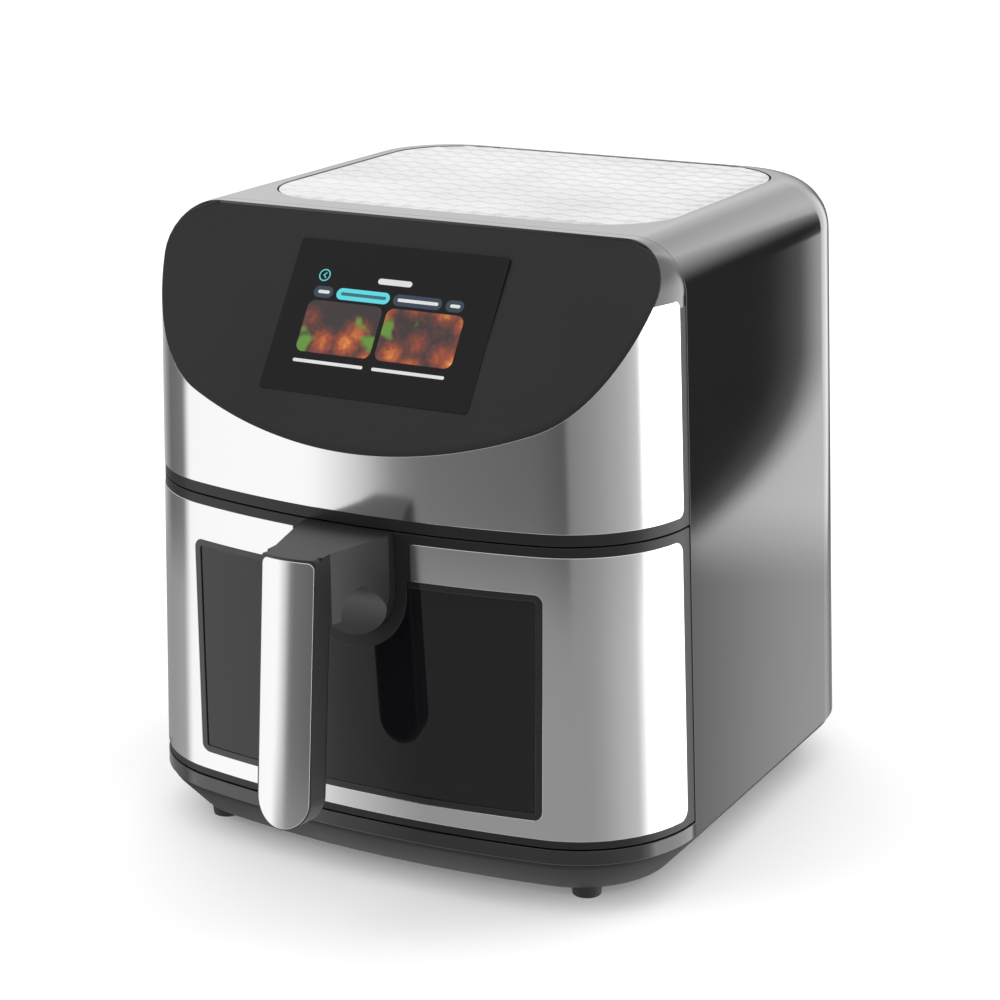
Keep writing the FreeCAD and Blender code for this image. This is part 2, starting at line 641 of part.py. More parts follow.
def drawer_front():
    """Deep bowed front shell of the drawer, with the tab for the handle and a ledge round the top."""
    shell = OUTER.cut(INNER)
    floor = INNER.common(block(-FAR, FAR, -FAR, FAR, DRAWER_BOTTOM, DRAWER_BOTTOM + WALL))
    ledge = INNER.common(block(-FAR, FAR, -FAR, FAR, DRAWER_TOP - WALL, DRAWER_TOP))
    ledge = ledge.cut(pan_plan(4.0, DRAWER_TOP - 10, DRAWER_TOP + 1))
    front = shell.fuse([floor, ledge]).common(drawer_block())
    for x, z in drawer_bosses():
        boss = cylinder(4.0, V(x, SEAM_Y - 3.2, z), V(x, -FAR, z)).common(UNDER_SKIN)
        front = front.fuse(boss)
    opening = window_form(WINDOW_BORDER, -FAR, SEAM_Y).cut(tab_form(0.0))
    seat = OUTER.cut(INNER).common(window_form(0.0, -FAR, SEAM_Y).cut(tab_form(0.0)))
    front = front.cut(opening).cut(seat)
    front = front.cut(OUTER.cut(UNDER_SKIN).common(lower_steel_region().cut(tab_form(0.0))))
    holes = [cylinder(1.6, V(x, SEAM_Y, z), V(x, SEAM_Y - 16, z)) for x, z in drawer_bosses()]
    holes += [cylinder(1.9, V(0, -FAR, z), V(0, SEAM_Y, z)) for z, _ in HANDLE_SCREWS]
    return front.cut(Part.makeCompound(holes))


def lower_steel_band():
    return OUTER.cut(UNDER_SKIN).common(lower_steel_region()).common(drawer_block())


def window_frame():
    """Glossy border round the outer window, seated in the shell."""
    form = window_form(0.0, -FAR, SEAM_Y).cut(window_form(WINDOW_BORDER, -FAR, SEAM_Y))
    return OUTER.cut(INNER).common(form.cut(tab_form(0.0)))


def window_glass():
    """Tinted glass that follows the bow of the front."""
    form = window_form(WINDOW_BORDER, -FAR, SEAM_Y).cut(tab_form(0.0))
    return UNDER_GLASS.cut(INNER).common(form)


def drawer_rear_frame():
    """Plate that closes the back of the drawer front round the pan."""
    y0, y1 = SEAM_Y - CLEARANCE - 2.5, SEAM_Y - CLEARANCE
    plate = INNER.common(block(-FAR, FAR, y0, y1, DRAWER_BOTTOM + WALL, DRAWER_TOP - WALL))
    plate = plate.cut(block(-PAN_HALF - 4, PAN_HALF + 4, y0 - 1, y1 + 1, PAN_Z[0] - 1.5, FAR))
    for x, z in drawer_bosses():
        plate = plate.cut(cylinder(1.6, V(x, y0 - 1, z), V(x, y1 + 1, z)))
        plate = plate.cut(cylinder(3.6, V(x, y1 - 1.5, z), V(x, y1 + 1, z)))
    return plate


def drawer_screws():
    y1 = SEAM_Y - CLEARANCE
    return Part.makeCompound([screw(V(x, y1 - 14, z), V(x, y1 - 0.1, z), 1.5, 3.4, 1.4)
                              for x, z in drawer_bosses()])


def pan_surround():
    """Upright collar between the ledge of the drawer front and the rim of the pan."""
    z0, z1 = PAN_Z[1] + 0.2, DRAWER_TOP - WALL
    collar = pan_plan(4.0, z0, z1).cut(pan_plan(2.2, z0, z1))
    return collar.common(block(-FAR, FAR, -FAR, SEAM_Y - CLEARANCE - 2.6, 0, FAR))


def pan():
    """Coated steel pan with a turned-out rim and a window in its front wall."""
    outer = round_bottom(pan_plan(0.0, *PAN_Z), PAN_Z[0], 10.0)
    inner = round_bottom(pan_plan(-PAN_T, PAN_Z[0] + PAN_T, PAN_Z[1] + 1), PAN_Z[0] + PAN_T, 8.8)
    rim = pan_plan(4.0, PAN_Z[1] - 1.2, PAN_Z[1]).cut(pan_plan(-PAN_T, PAN_Z[1] - 2, PAN_Z[1] + 1))
    shape = outer.cut(inner).fuse(rim)
    return shape.cut(inner_window(0.0, PAN_FRONT - 5, PAN_FRONT + 5))


def round_bottom(shape, z, radius):
    edges = [e for e in shape.Edges if max(v.Z for v in e.Vertexes) < z + 0.01]
    return shape.makeFillet(radius, edges)


def inner_window(inset, y0, y1):
    return front_prism(-72 + inset, 72 - inset, 68 + inset, 148 - inset, [8 - inset] * 4, y0, y1)


def inner_window_gasket():
    y0, y1 = PAN_FRONT - 2.4, PAN_FRONT + PAN_T + 0.8
    band = inner_window(0.0, PAN_FRONT, PAN_FRONT + PAN_T)
    lip = front_prism(-75, 75, 65, 151, [10] * 4, y0, PAN_FRONT)
    lip_in = front_prism(-75, 75, 65, 151, [10] * 4, PAN_FRONT + PAN_T, y1)
    gasket = band.fuse([lip, lip_in])
    gasket = gasket.cut(inner_window(4.5, y0 - 1, y1 + 1))
    return gasket.cut(inner_window(2.0, PAN_FRONT - 1.4, PAN_FRONT + 0.6))


def inner_window_glass():
    return inner_window(2.0, PAN_FRONT - 1.4, PAN_FRONT + 0.6)


def switch_tab():
    """Tongue on the drawer that reaches the safety switch through the bulkhead."""
    root = SEAM_Y - CLEARANCE
    tongue = block(134, 139, root - 0.5, SEAM_Y + 11.5, 119.5, 124.5)
    return tongue.cut(block(100, FAR, -FAR, root, 0, FAR))


# ---------------------------------------------------------------- handle
def lean(shape):
    """Tilt an upright grip part about its top front edge."""
    shape.rotate(V(0, GRIP_TOP_FRONT_Y, DRAWER_TOP), V(1, 0, 0), -HANDLE_LEAN)
    return shape


def grip_outline(half, top, bottom, y):
    """Front outline of the grip: small top corners and a round foot."""
    r = 3.0
    slant = r * (1 - math.sqrt(0.5))
    centre = bottom + half
    edges = [
        Part.Arc(V(-half, y, centre), V(0, y, bottom), V(half, y, centre)).toShape(),
        Part.LineSegment(V(half, y, centre), V(half, y, top - r)).toShape(),
        Part.Arc(V(half, y, top - r), V(half - slant, y, top - slant), V(half - r, y, top)).toShape(),
        Part.LineSegment(V(half - r, y, top), V(-half + r, y, top)).toShape(),
        Part.Arc(V(-half + r, y, top), V(-half + slant, y, top - slant), V(-half, y, top - r)).toShape(),
        Part.LineSegment(V(-half, y, top - r), V(-half, y, centre)).toShape(),
    ]
    return Part.Wire(edges)


def crown_form(depth):
    """Large upright cylinder whose front surface crowns the grip, moved back by depth."""
    radius = (FACE_HALF ** 2 + CROWN ** 2) / (2 * CROWN)
    centre = V(0, GRIP_TOP_FRONT_Y + radius, 0)
    return Part.makeCylinder(radius - depth, FAR, centre)


def handle_face():
    """Thin crowned steel plate on the front of the grip."""
    bottom = DRAWER_TOP - GRIP_LENGTH + 0.8
    form = prism(grip_outline(FACE_HALF, DRAWER_TOP - 1.6, bottom, GRIP_TOP_FRONT_Y - 1), V(0, 12, 0))
    return lean(form.common(crown_form(0)).cut(crown_form(FACE_T)))


def grip_form():
    bottom = DRAWER_TOP - GRIP_LENGTH
    wire = grip_outline(GRIP_HALF, DRAWER_TOP + 0.8, bottom, GRIP_TOP_FRONT_Y - 1)
    form = prism(wire, V(0, GRIP_DEPTH + 1, 0))
    back = GRIP_TOP_FRONT_Y + GRIP_DEPTH
    edges = [e for e in form.Edges if min(v.Y for v in e.Vertexes) > back - 0.01]
    form = form.makeFillet(5.0, edges)
    return lean(form.common(crown_form(0.2)))


def arm_form():
    """Arm from the drawer to the grip: flared root, arched underside, tapered plan."""
    pad_y, pad_z = -121.3, TAB_CENTRE_Z + 1.6 - HANDLE_ROOT_HALF
    grip_back = GRIP_TOP_FRONT_Y + GRIP_DEPTH + 1.5
    arch_z = DRAWER_TOP - 21.0
    arch_y = grip_back + 13.0
    start = V(-FAR, FRONT_Y + 6, DRAWER_TOP)
    points = [start, V(-FAR, GRIP_TOP_FRONT_Y + 8, DRAWER_TOP), V(-FAR, GRIP_TOP_FRONT_Y + 8, arch_z - 14),
              V(-FAR, grip_back, arch_z - 14)]
    edges = [Part.LineSegment(a, b).toShape() for a, b in zip(points, points[1:])]
    arch, foot_point = V(-FAR, arch_y, arch_z), V(-FAR, pad_y, pad_z)
    edges.append(Part.Arc(points[3], V(-FAR, grip_back + 3.6, arch_z - 4.2), arch).toShape())
    edges.append(Part.Arc(arch, V(-FAR, pad_y - 7.5, arch_z - 9.5), foot_point).toShape())
    edges.append(Part.LineSegment(foot_point, V(-FAR, FRONT_Y + 6, pad_z)).toShape())
    edges.append(Part.LineSegment(V(-FAR, FRONT_Y + 6, pad_z), start).toShape())
    side_view = prism(Part.Wire(edges), V(2 * FAR, 0, 0))
    half, tip = HANDLE_ROOT_HALF, GRIP_HALF
    plan = polygon([V(-half, FRONT_Y + 6, 0), V(-half, FRONT_Y - 6, 0), V(-tip, grip_back - 6, 0),
                    V(-tip, GRIP_TOP_FRONT_Y + 5, 0), V(tip, GRIP_TOP_FRONT_Y + 5, 0),
                    V(tip, grip_back - 6, 0), V(half, FRONT_Y - 6, 0), V(half, FRONT_Y + 6, 0)])
    front_view = u_prism(half, TAB_CENTRE_Z + 1.6, DRAWER_TOP, -FAR, SEAM_Y)
    return side_view.common(prism(plan, V(0, 0, FAR))).common(front_view)


def handle_body():
    """Arm and grip core in black plastic, shaped to the bowed drawer front."""
    body = arm_form().fuse(grip_form()).common(block(-60, 60, -FAR, 0, 0, DRAWER_TOP))
    body = body.cut(OUTER)
    body = body.cut(lean(crown_cut()))
    body = body.cut(grip_back_form())
    holes = [cylinder(1.6, V(0, tip - 1, z), V(0, FRONT_Y + 7, z)) for z, tip in HANDLE_SCREWS]
    return body.cut(Part.makeCompound(holes)).removeSplitter()


def crown_cut():
    """Seat of the steel face: everything in front of the plate's back surface, within its outline."""
    bottom = DRAWER_TOP - GRIP_LENGTH + 0.8
    form = prism(grip_outline(FACE_HALF, DRAWER_TOP - 1.6, bottom, GRIP_TOP_FRONT_Y - 3), V(0, 14, 0))
    return form.cut(crown_form(FACE_T))


def grip_back_form():
    """Rear shell of the grip below the arm."""
    bottom = DRAWER_TOP - GRIP_LENGTH
    split = GRIP_TOP_FRONT_Y + 11.0
    half = block(-60, 60, split, split + 30, bottom - 5, DRAWER_TOP - 42)
    return grip_form().common(lean(half))


def handle_grip_cover():
    return grip_back_form()


def handle_screws():
    """Two screws from inside the drawer front into the root of the handle."""
    head = FRONT_Y - FRONT_LEAN * (TAB_CENTRE_Z - BASE_TOP) + WALL + 2.6
    screws = [screw(V(0, tip, z), V(0, head, z), 1.5, 3.6, 2.2) for z, tip in HANDLE_SCREWS]
    return Part.makeCompound(screws)


# ---------------------------------------------------------------- crisper plate
def crisper_outline(z0, z1):
    return pan_plan(-PAN_T - CRISPER_GAP, z0, z1)


def crisper_plate():
    """Perforated plate that carries the food above the pan's floor."""
    plate = crisper_outline(CRISPER_Z, CRISPER_Z + 2)
    holes = []
    pitch = 17.0
    for i in range(-6, 7):
        for j in range(-6, 7):
            x, y = i * pitch, (PAN_FRONT + PAN_BACK) / 2 + j * pitch
            near_middle = abs(i) + abs(j) < 2
            near_corner = abs(i) + abs(j) > 10
            if abs(x) < PAN_HALF - 10 and not near_middle and not near_corner and abs(j) < 6:
                holes.append(Part.makeCylinder(3.2, 10, V(x, y, CRISPER_Z - 4)))
    return plate.cut(Part.makeCompound(holes))


def crisper_grip():
    """Loop in the middle for lifting the plate out."""
    y = (PAN_FRONT + PAN_BACK) / 2
    stem = [cylinder(1.6, V(x, y, CRISPER_Z + 2), V(x, y, CRISPER_Z + 11)) for x in (-9, 9)]
    bar = cylinder(1.6, V(-9, y, CRISPER_Z + 11), V(9, y, CRISPER_Z + 11))
    ends = [Part.makeSphere(1.6, V(x, y, CRISPER_Z + 11)) for x in (-9, 9)]
    return bar.fuse(stem + ends)


def crisper_bumpers():
    """Silicone feet at the four corners that centre the plate in the pan."""
    middle = (PAN_FRONT + PAN_BACK) / 2
    reach = (PAN_BACK - PAN_FRONT) / 2 - 24
    z0 = PAN_Z[0] + PAN_T + 0.3
    feet = []
    for sx in (-1, 1):
        for sy in (-1, 1):
            x, y = sx * (PAN_HALF - 26), middle + sy * reach
            feet.append(Part.makeCylinder(5, CRISPER_Z - z0, V(x, y, z0)))
    return Part.makeCompound(feet)


# ---------------------------------------------------------------- write the parts
NODES = {
    "outer_housing": outer_housing, "top_inlay": top_inlay, "front_frame": front_frame,
    "upper_steel_band": upper_steel_band, "control_panel": control_panel,
    "display_glass": display_glass, "lcd_module": lcd_module, "control_board": control_board,
    "drawer_sill": drawer_sill, "front_bulkhead": front_bulkhead, "base_tray": base_tray,
    "foot_screws": foot_screws, "base_screws": base_screws, "cavity_liner": cavity_liner,
    "guide_rail_right": lambda: guide_rail(1), "guide_rail_left": lambda: guide_rail(-1),
    "fan_dome": fan_dome, "element_guard": element_guard, "heating_element": heating_element,
    "heater_clips": heater_clips, "temperature_probe": temperature_probe,
    "thermal_cutoff": thermal_cutoff, "heat_shield": heat_shield, "motor_bracket": motor_bracket,
    "fan_motor": fan_motor, "power_board": power_board, "exhaust_duct": exhaust_duct,
    "rear_vent_grille": rear_vent_grille, "cable_gland": cable_gland, "door_switch": door_switch,
    "motor_shaft": motor_shaft, "hot_air_impeller": hot_air_impeller, "impeller_nut": impeller_nut,
    "cooling_fan": cooling_fan, "drawer_front": drawer_front, "lower_steel_band": lower_steel_band,
    "window_frame": window_frame, "window_glass": window_glass,
    "drawer_rear_frame": drawer_rear_frame, "drawer_screws": drawer_screws,
    "pan_surround": pan_surround, "pan": pan, "inner_window_gasket": inner_window_gasket,
    "inner_window_glass": inner_window_glass, "switch_tab": switch_tab,
    "handle_body": handle_body, "handle_grip_cover": handle_grip_cover,
    "handle_face": handle_face, "handle_screws": handle_screws, "crisper_plate": crisper_plate,
    "crisper_grip": crisper_grip, "crisper_bumpers": crisper_bumpers,
}
FOOT_NAMES = ["foot_front_left", "foot_front_right", "foot_rear_left", "foot_rear_right"]

for name, (x, y) in zip(FOOT_NAMES, foot_places()):
    NODES[name] = lambda x=x, y=y: foot(x, y)

os.makedirs("parts", exist_ok=True)
whole = FreeCAD.BoundBox()
for name, make in NODES.items():
    shape = make()
    shape.exportStep(f"parts/{name}.step")
    whole.add(shape.BoundBox)
    print(f"{name:22s} solids {len(shape.Solids):3d} valid {shape.isValid()} cm3 {shape.Volume / 1000:8.2f}")
print(f"x {whole.XMin:.2f} {whole.XMax:.2f} y {whole.YMin:.2f} {whole.YMax:.2f}")
print(f"z {whole.ZMin:.2f} {whole.ZMax:.2f}")
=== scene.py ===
"""Looks of a drawer air fryer: curved shells, steel bands, display and a small photo studio."""

import json
import math

import bmesh
import bpy
from mathutils import Matrix, Vector


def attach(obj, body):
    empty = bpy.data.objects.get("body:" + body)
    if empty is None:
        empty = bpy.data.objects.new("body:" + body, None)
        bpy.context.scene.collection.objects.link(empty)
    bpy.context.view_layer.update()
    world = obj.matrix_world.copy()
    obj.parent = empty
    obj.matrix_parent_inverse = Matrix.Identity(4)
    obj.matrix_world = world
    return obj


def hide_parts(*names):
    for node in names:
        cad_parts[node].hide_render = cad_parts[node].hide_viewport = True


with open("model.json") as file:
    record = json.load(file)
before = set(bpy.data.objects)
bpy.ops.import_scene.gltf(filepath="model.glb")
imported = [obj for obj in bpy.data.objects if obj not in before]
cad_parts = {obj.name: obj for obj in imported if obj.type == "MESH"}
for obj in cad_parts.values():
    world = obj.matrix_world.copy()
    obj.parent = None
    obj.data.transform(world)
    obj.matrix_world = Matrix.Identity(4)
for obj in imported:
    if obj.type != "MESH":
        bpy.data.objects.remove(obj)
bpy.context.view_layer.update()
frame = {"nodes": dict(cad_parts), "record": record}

# ---------------------------------------------------------------- dimensions, millimetres
MM = 0.001
BASE_TOP, TOP = 27.0, 324.5
HALF_WIDTH, SIDE_DRAFT = 151.5, 0.0354
FRONT_Y, FRONT_LEAN = -117.5, 0.0118
BACK_Y, BACK_DRAFT = 187.0, 0.0118
SEAM_Y = -45.0
CORNER_R, REAR_CORNER_R, TOP_FILLET_R = 65.0, 60.0, 26.0
FILLET_START = TOP - TOP_FILLET_R
FOOT_HEIGHT = 7.0

DISPLAY_Y, DISPLAY_Z, DISPLAY_TILT = -84.0, 278.7, math.radians(33.62)
RIM_LOW_Y, RIM_LOW_Z = -120.0, 222.3
GLASS_W, GLASS_H = 116.6, 80.0
PANEL_EDGE = 1.0               # least visible thickness of the control panel
PANEL_ROUNDING = 1.4
PANEL_SIDE_Y = -53.0           # how far back the panel's edge runs on each side

LIP_TOP, DRAWER_BOTTOM, DRAWER_TOP, CARRIER_BOTTOM = 34.1, 34.8, 186.5, 187.2
UPPER_STEEL_Z, UPPER_EDGE_Y, UPPER_CORNER = (193.3, 297.5), -52.0, 4.0
LOWER_STEEL_Z, LOWER_EDGE_Y, LOWER_CORNER = (39.2, 181.4), -53.5, 6.0
STEEL_GAP_HALF = 33.0          # half of the gap in the lower band under the handle's arm
BAND_SINK = 0.35               # black shells lie this far below the steel
BAND_REACH = 190.0             # rough length along the front from its middle to a band's end
CARRIER_EDGE_Y, DRAWER_EDGE_Y = SEAM_Y - 0.6, SEAM_Y - 1.1
WINDOW_HALF, WINDOW_Z, WINDOW_R, WINDOW_BORDER = 98.5, (48.5, 163.0), 4.5, 3.0
TAB_R, TAB_CENTRE_Z, TAB_SIDE_Z = 30.0, 155.1, 159.0
SIDE_STEPS = 26                # points along each straight side of a loop on the front

HANDLE_LEAN = math.radians(5.2)
FACE_HALF, CROWN, FACE_TOP_Y = 14.3, 2.5, -175.3
FACE_Z, FACE_HEAD_R = (55.3, 184.9), 3.0
HANDLE_PIVOT = Vector((0, FACE_TOP_Y, DRAWER_TOP))

VENT_HALF, VENT_Z = 48.4, (211.6, 268.4)
GLAND_X, GLAND_Z = 92.0, 62.0
PAN_RIM_HALF, PAN_RIM_FRONT, PAN_RIM_R = 122.4, -102.4, 42.0
INLAY_HALF, INLAY_Y, INLAY_R, INLAY_GAP = 112.0, (-29.0, 156.5), 40.0, 0.9
WEAVE_PITCH, WEAVE_HEIGHT, WEAVE_FADE = 13.0, 0.7, 4.0
WALL_ROWS = (40, 58, 78, 100, 122, 145, 168, 190, *VENT_Z, 283)
SKIRT_SECTION = ((27, 1.4, 5), (25.5, 1.5, 12), (23, 2.4, 30), (7.0, 17.0, 45), (6.9, 19.0, 80))
UP, DOWN, BACKWARD = Vector((0, 0, 1)), Vector((0, 0, -1)), Vector((0, 1, 0))


# ---------------------------------------------------------------- the body's outer form
def half_width(z):
    """Half of the body's width at a height; the sides draft inwards."""
    return HALF_WIDTH - SIDE_DRAFT * (z - BASE_TOP)


def front_y(z):
    return FRONT_Y - FRONT_LEAN * (z - BASE_TOP)


def back_y(z):
    return BACK_Y - BACK_DRAFT * (z - BASE_TOP)


def bow(z):
    """Radius of the bowed front at a height, and the angle where it meets the corner."""
    corner_x = half_width(z) - CORNER_R
    depth = SEAM_Y - front_y(z)
    radius = (corner_x ** 2 + depth ** 2 - CORNER_R ** 2) / (2 * (depth - CORNER_R))
    return radius, math.asin(corner_x / (radius - CORNER_R))


def front_at(angle, z, inset=0.0):
    """Point of the front half of the outline whose normal is turned by angle from straight ahead."""
    radius, turn = bow(z)
    if abs(angle) <= turn:
        reach = radius - inset
        return Vector((reach * math.sin(angle), front_y(z) + radius - reach * math.cos(angle), z))
    corner_x = math.copysign(half_width(z) - CORNER_R, angle)
    reach = CORNER_R - inset
    return Vector((corner_x + reach * math.sin(angle), SEAM_Y - reach * math.cos(angle), z))


def front_surface(edge_y):
    """Maps (k, z, depth) to the front; k runs by arc length and is -1 and 1 on the plane y = edge_y."""
    edge_angle = math.acos((SEAM_Y - edge_y) / CORNER_R)

    def place(k, z, depth=0.0):
        radius, turn = bow(z)
        flat = radius * turn
        along = k * (flat + CORNER_R * (edge_angle - turn))
        angle = along / radius
        if abs(along) > flat:
            angle = math.copysign(turn + (abs(along) - flat) / CORNER_R, along)
        return front_at(angle, z, depth)

    return place


def width_at(x, z, edge_y):
    """The k of front_surface(edge_y) where the outer surface is at this x."""
    radius, turn = bow(z)
    flat = radius * turn
    reach = flat + CORNER_R * (math.acos((SEAM_Y - edge_y) / CORNER_R) - turn)
    if abs(x) <= radius * math.sin(turn):
        return radius * math.asin(x / radius) / reach
    beyond = math.asin((abs(x) - half_width(z) + CORNER_R) / CORNER_R) - turn
    return math.copysign(flat + CORNER_R * beyond, x) / reach


def on_display(across, up, out=0.0):
    """Point given across, up and out from the middle of the tilted display."""
    y = DISPLAY_Y + up * math.sin(DISPLAY_TILT) - out * math.cos(DISPLAY_TILT)
    z = DISPLAY_Z + up * math.cos(DISPLAY_TILT) + out * math.sin(DISPLAY_TILT)
    return Vector((across, y, z))


def above_display(point):
    """Distance of a point in front of the display plane."""
    offset = point - on_display(0, 0)
    return offset.dot(on_display(0, 0, 1) - on_display(0, 0))


def rim_height(y):
    """Height of the straight slope that the panel's lower rim follows from its front to its sides."""
    return DISPLAY_Z + (y - DISPLAY_Y) * (DISPLAY_Z - RIM_LOW_Z) / (DISPLAY_Y - RIM_LOW_Y)


def blend(a, b, t):
    return a + (b - a) * t


def spread(count):
    """Even steps from 0 to 1."""
    return [i / (count - 1) for i in range(count)]


def rounded(count_side, count_corner, u0, u1, v0, v1, radius):
    """Points round a rounded rectangle, anticlockwise from the low end of its right side."""
    points = []
    corners = [(u1 - radius, v1 - radius, 0), (u0 + radius, v1 - radius, 90),
               (u0 + radius, v0 + radius, 180), (u1 - radius, v0 + radius, 270)]
    previous = (u1, v0 + radius)
    for centre_u, centre_v, start in corners:
        arc = []
        for t in spread(count_corner):
            a = math.radians(start + 90 * t)
            arc.append((centre_u + radius * math.cos(a), centre_v + radius * math.sin(a)))
        for t in spread(count_side)[:-1]:
            points.append((blend(previous[0], arc[0][0], t), blend(previous[1], arc[0][1], t)))
        points += arc[:-1]
        previous = arc[-1]
    return points


# ---------------------------------------------------------------- meshes
def new_object(name, points, faces, normals=None):
    mesh = bpy.data.meshes.new(name)
    mesh.from_pydata([Vector(p) * MM for p in points], [], faces)
    mesh.validate()
    obj = bpy.data.objects.new(name, mesh)
    bpy.context.scene.collection.objects.link(obj)
    for face in mesh.polygons:
        face.use_smooth = True
    if normals:
        mesh.normals_split_custom_set_from_vertices(normals)
    return obj


class Sheet:
    """Open surface made of grids that share vertices where they meet."""

    def __init__(self):
        self.points, self.normals, self.faces, self.index = [], [], [], {}

    def vertex(self, point, normal):
        """Number of the vertex at a point, shared with any other grid that has one there."""
        key = tuple(round(c * 200) for c in point)
        if key not in self.index:
            self.index[key] = len(self.points)
            self.points.append(Vector(point))
            self.normals.append(Vector(normal).normalized())
        return self.index[key]

    def grid(self, rows, closed=False):
        """Add rows of (point, normal); closed joins the last column to the first."""
        ids = [[self.vertex(p, n) for p, n in row] for row in rows]
        for low, high in zip(ids, ids[1:]):
            pairs = list(zip(low, low[1:], high[1:], high))
            if closed:
                pairs.append((low[-1], low[0], high[0], high[-1]))
            for face in pairs:
                loop = [v for i, v in enumerate(face) if v != face[i - 1]]
                if len(loop) > 2:
                    self.faces.append(self.facing(loop))

    def facing(self, loop):
        """The loop, turned over if it looks against its vertices' normals."""
        a, b, c = (self.points[i] for i in loop[:3])
        d = self.points[loop[-1]]
        outward = (c - a).cross(d - b) if len(loop) > 3 else (b - a).cross(c - b)
        normal = sum((self.normals[i] for i in loop), Vector())
        return loop if outward.dot(normal) > 0 else loop[::-1]

    def solid(self, name, depth, bevel=0.3, steps=3):
        """Closed object: the sheet, a rounded edge all round it, and a back face depth below."""
        used = {}
        for face in self.faces:
            for a, b in zip(face, face[1:] + face[:1]):
                used[(a, b)] = used.get((a, b), 0) + 1
        border = [edge for edge in used if edge[::-1] not in used]
        after = dict(border)
        before = {b: a for a, b in border}
        count = len(self.points)
        points, normals = list(self.points), list(self.normals)
        faces = [list(f) for f in self.faces]
        points += [p - n * depth for p, n in zip(self.points, self.normals)]
        normals += [-n for n in self.normals]
        faces += [[i + count for i in reversed(f)] for f in self.faces]
        ring = {}
        for v in after:
            n = self.normals[v]
            t = (self.points[after[v]] - self.points[v]).normalized()
            t += (self.points[v] - self.points[before[v]]).normalized()
            out = t.cross(n).normalized()
            out = (out - n * out.dot(n)).normalized()
            ids = [v]
            for step in range(1, steps + 1):
                a = math.radians(90 * step / steps)
                ids.append(len(points))
                points.append(self.points[v] + out * bevel * math.sin(a) - n * bevel * (1 - math.cos(a)))
                normals.append(n * math.cos(a) + out * math.sin(a))
            ids.append(len(points))
            points.append(self.points[v] + out * bevel - n * depth)
            normals.append(out)
            ids.append(v + count)
            ring[v] = ids
        for a, b in border:
            for i in range(steps + 2):
                faces.append([ring[a][i + 1], ring[b][i + 1], ring[b][i], ring[a][i]])
        return new_object(name, points, faces, normals)


def surfaced(place, k, z, sink=0.0):
    """Point and outward normal of a mapped surface."""
    point = place(k, z, sink)
    return point, place(k, z, sink) - place(k, z, sink + 1.0)


def rounded_ends(count, corner):
    """Steps across from -1 to 1, closer together near the ends; corner is the radius as a share."""
    inner = [-1 + corner + (2 - 2 * corner) * t for t in spread(count)]
    end = [-1 + corner * (1 - math.cos(math.radians(a))) for a in (0, 12, 25, 38, 52, 66, 78)]
    return end + inner + [-e for e in reversed(end)]


# ---------------------------------------------------------------- materials
def new_material(name):
    material = bpy.data.materials.new(name)
    material.use_nodes = True
    tree = material.node_tree
    shader = next(n for n in tree.nodes if n.type == "BSDF_PRINCIPLED")
    return material, tree, shader


def texture_place(tree, scale=(1, 1, 1)):
    coordinates = tree.nodes.new("ShaderNodeTexCoord")
    mapping = tree.nodes.new("ShaderNodeMapping")
    mapping.inputs["Scale"].default_value = scale
    tree.links.new(coordinates.outputs["Object"], mapping.inputs["Vector"])
    return mapping.outputs["Vector"]


def noise(tree, vector, scale, detail=2.0):
    node = tree.nodes.new("ShaderNodeTexNoise")
    node.inputs["Scale"].default_value = scale
    node.inputs["Detail"].default_value = detail
    tree.links.new(vector, node.inputs["Vector"])
    return node.outputs["Fac"]


def ramp(tree, value, stops):
    """Colour ramp; stops are (position, colour or grey level)."""
    node = tree.nodes.new("ShaderNodeValToRGB")
    elements = node.color_ramp.elements
    while len(elements) < len(stops):
        elements.new(0.5)
    for element, (position, level) in zip(elements, stops):
        element.position = position
        element.color = (*level, 1) if isinstance(level, tuple) else (level, level, level, 1)
    tree.links.new(value, node.inputs["Fac"])
    return node.outputs["Color"]


def bump(tree, shader, height, strength, distance):
    node = tree.nodes.new("ShaderNodeBump")
    node.inputs["Strength"].default_value = strength
    node.inputs["Distance"].default_value = distance
    tree.links.new(height, node.inputs["Height"])
    tree.links.new(node.outputs["Normal"], shader.inputs["Normal"])


def moulded(name, colour, rough, coat=0.0, grain=0.0, specular=0.5, metallic=0.0):
    """Moulded plastic, rubber or glass: colour and roughness drift a little, with an optional fine grain."""
    material, tree, shader = new_material(name)
    where = texture_place(tree)
    cloud = noise(tree, where, 14.0)
    dark = tuple(c * 0.9 for c in colour)
    light = tuple(min(1.0, c * 1.1) for c in colour)
    tree.links.new(ramp(tree, cloud, [(0.3, dark), (0.7, light)]), shader.inputs["Base Color"])
    tree.links.new(ramp(tree, cloud, [(0.3, rough * 0.92), (0.7, rough * 1.08)]), shader.inputs["Roughness"])
    shader.inputs["Specular IOR Level"].default_value = specular
    shader.inputs["Coat Weight"].default_value = coat
    shader.inputs["Metallic"].default_value = metallic
    if grain:
        bump(tree, shader, noise(tree, where, 1800.0), grain, 0.0001)
    return material


def metal(name, colour, rough, stretch=(1, 1, 1), brushed=0.0):
    """Bare metal; stretch makes the grain run along one direction."""
    material, tree, shader = new_material(name)
    where = texture_place(tree, stretch)
    grain = noise(tree, where, 900.0, 3.0)
    dark = tuple(c * 0.96 for c in colour)
    tree.links.new(ramp(tree, grain, [(0.35, dark), (0.65, colour)]), shader.inputs["Base Color"])
    tree.links.new(ramp(tree, grain, [(0.3, rough * 0.8), (0.7, rough * 1.2)]), shader.inputs["Roughness"])
    shader.inputs["Metallic"].default_value = 1.0
    if brushed:
        bump(tree, shader, grain, brushed, 0.00002)
    return material


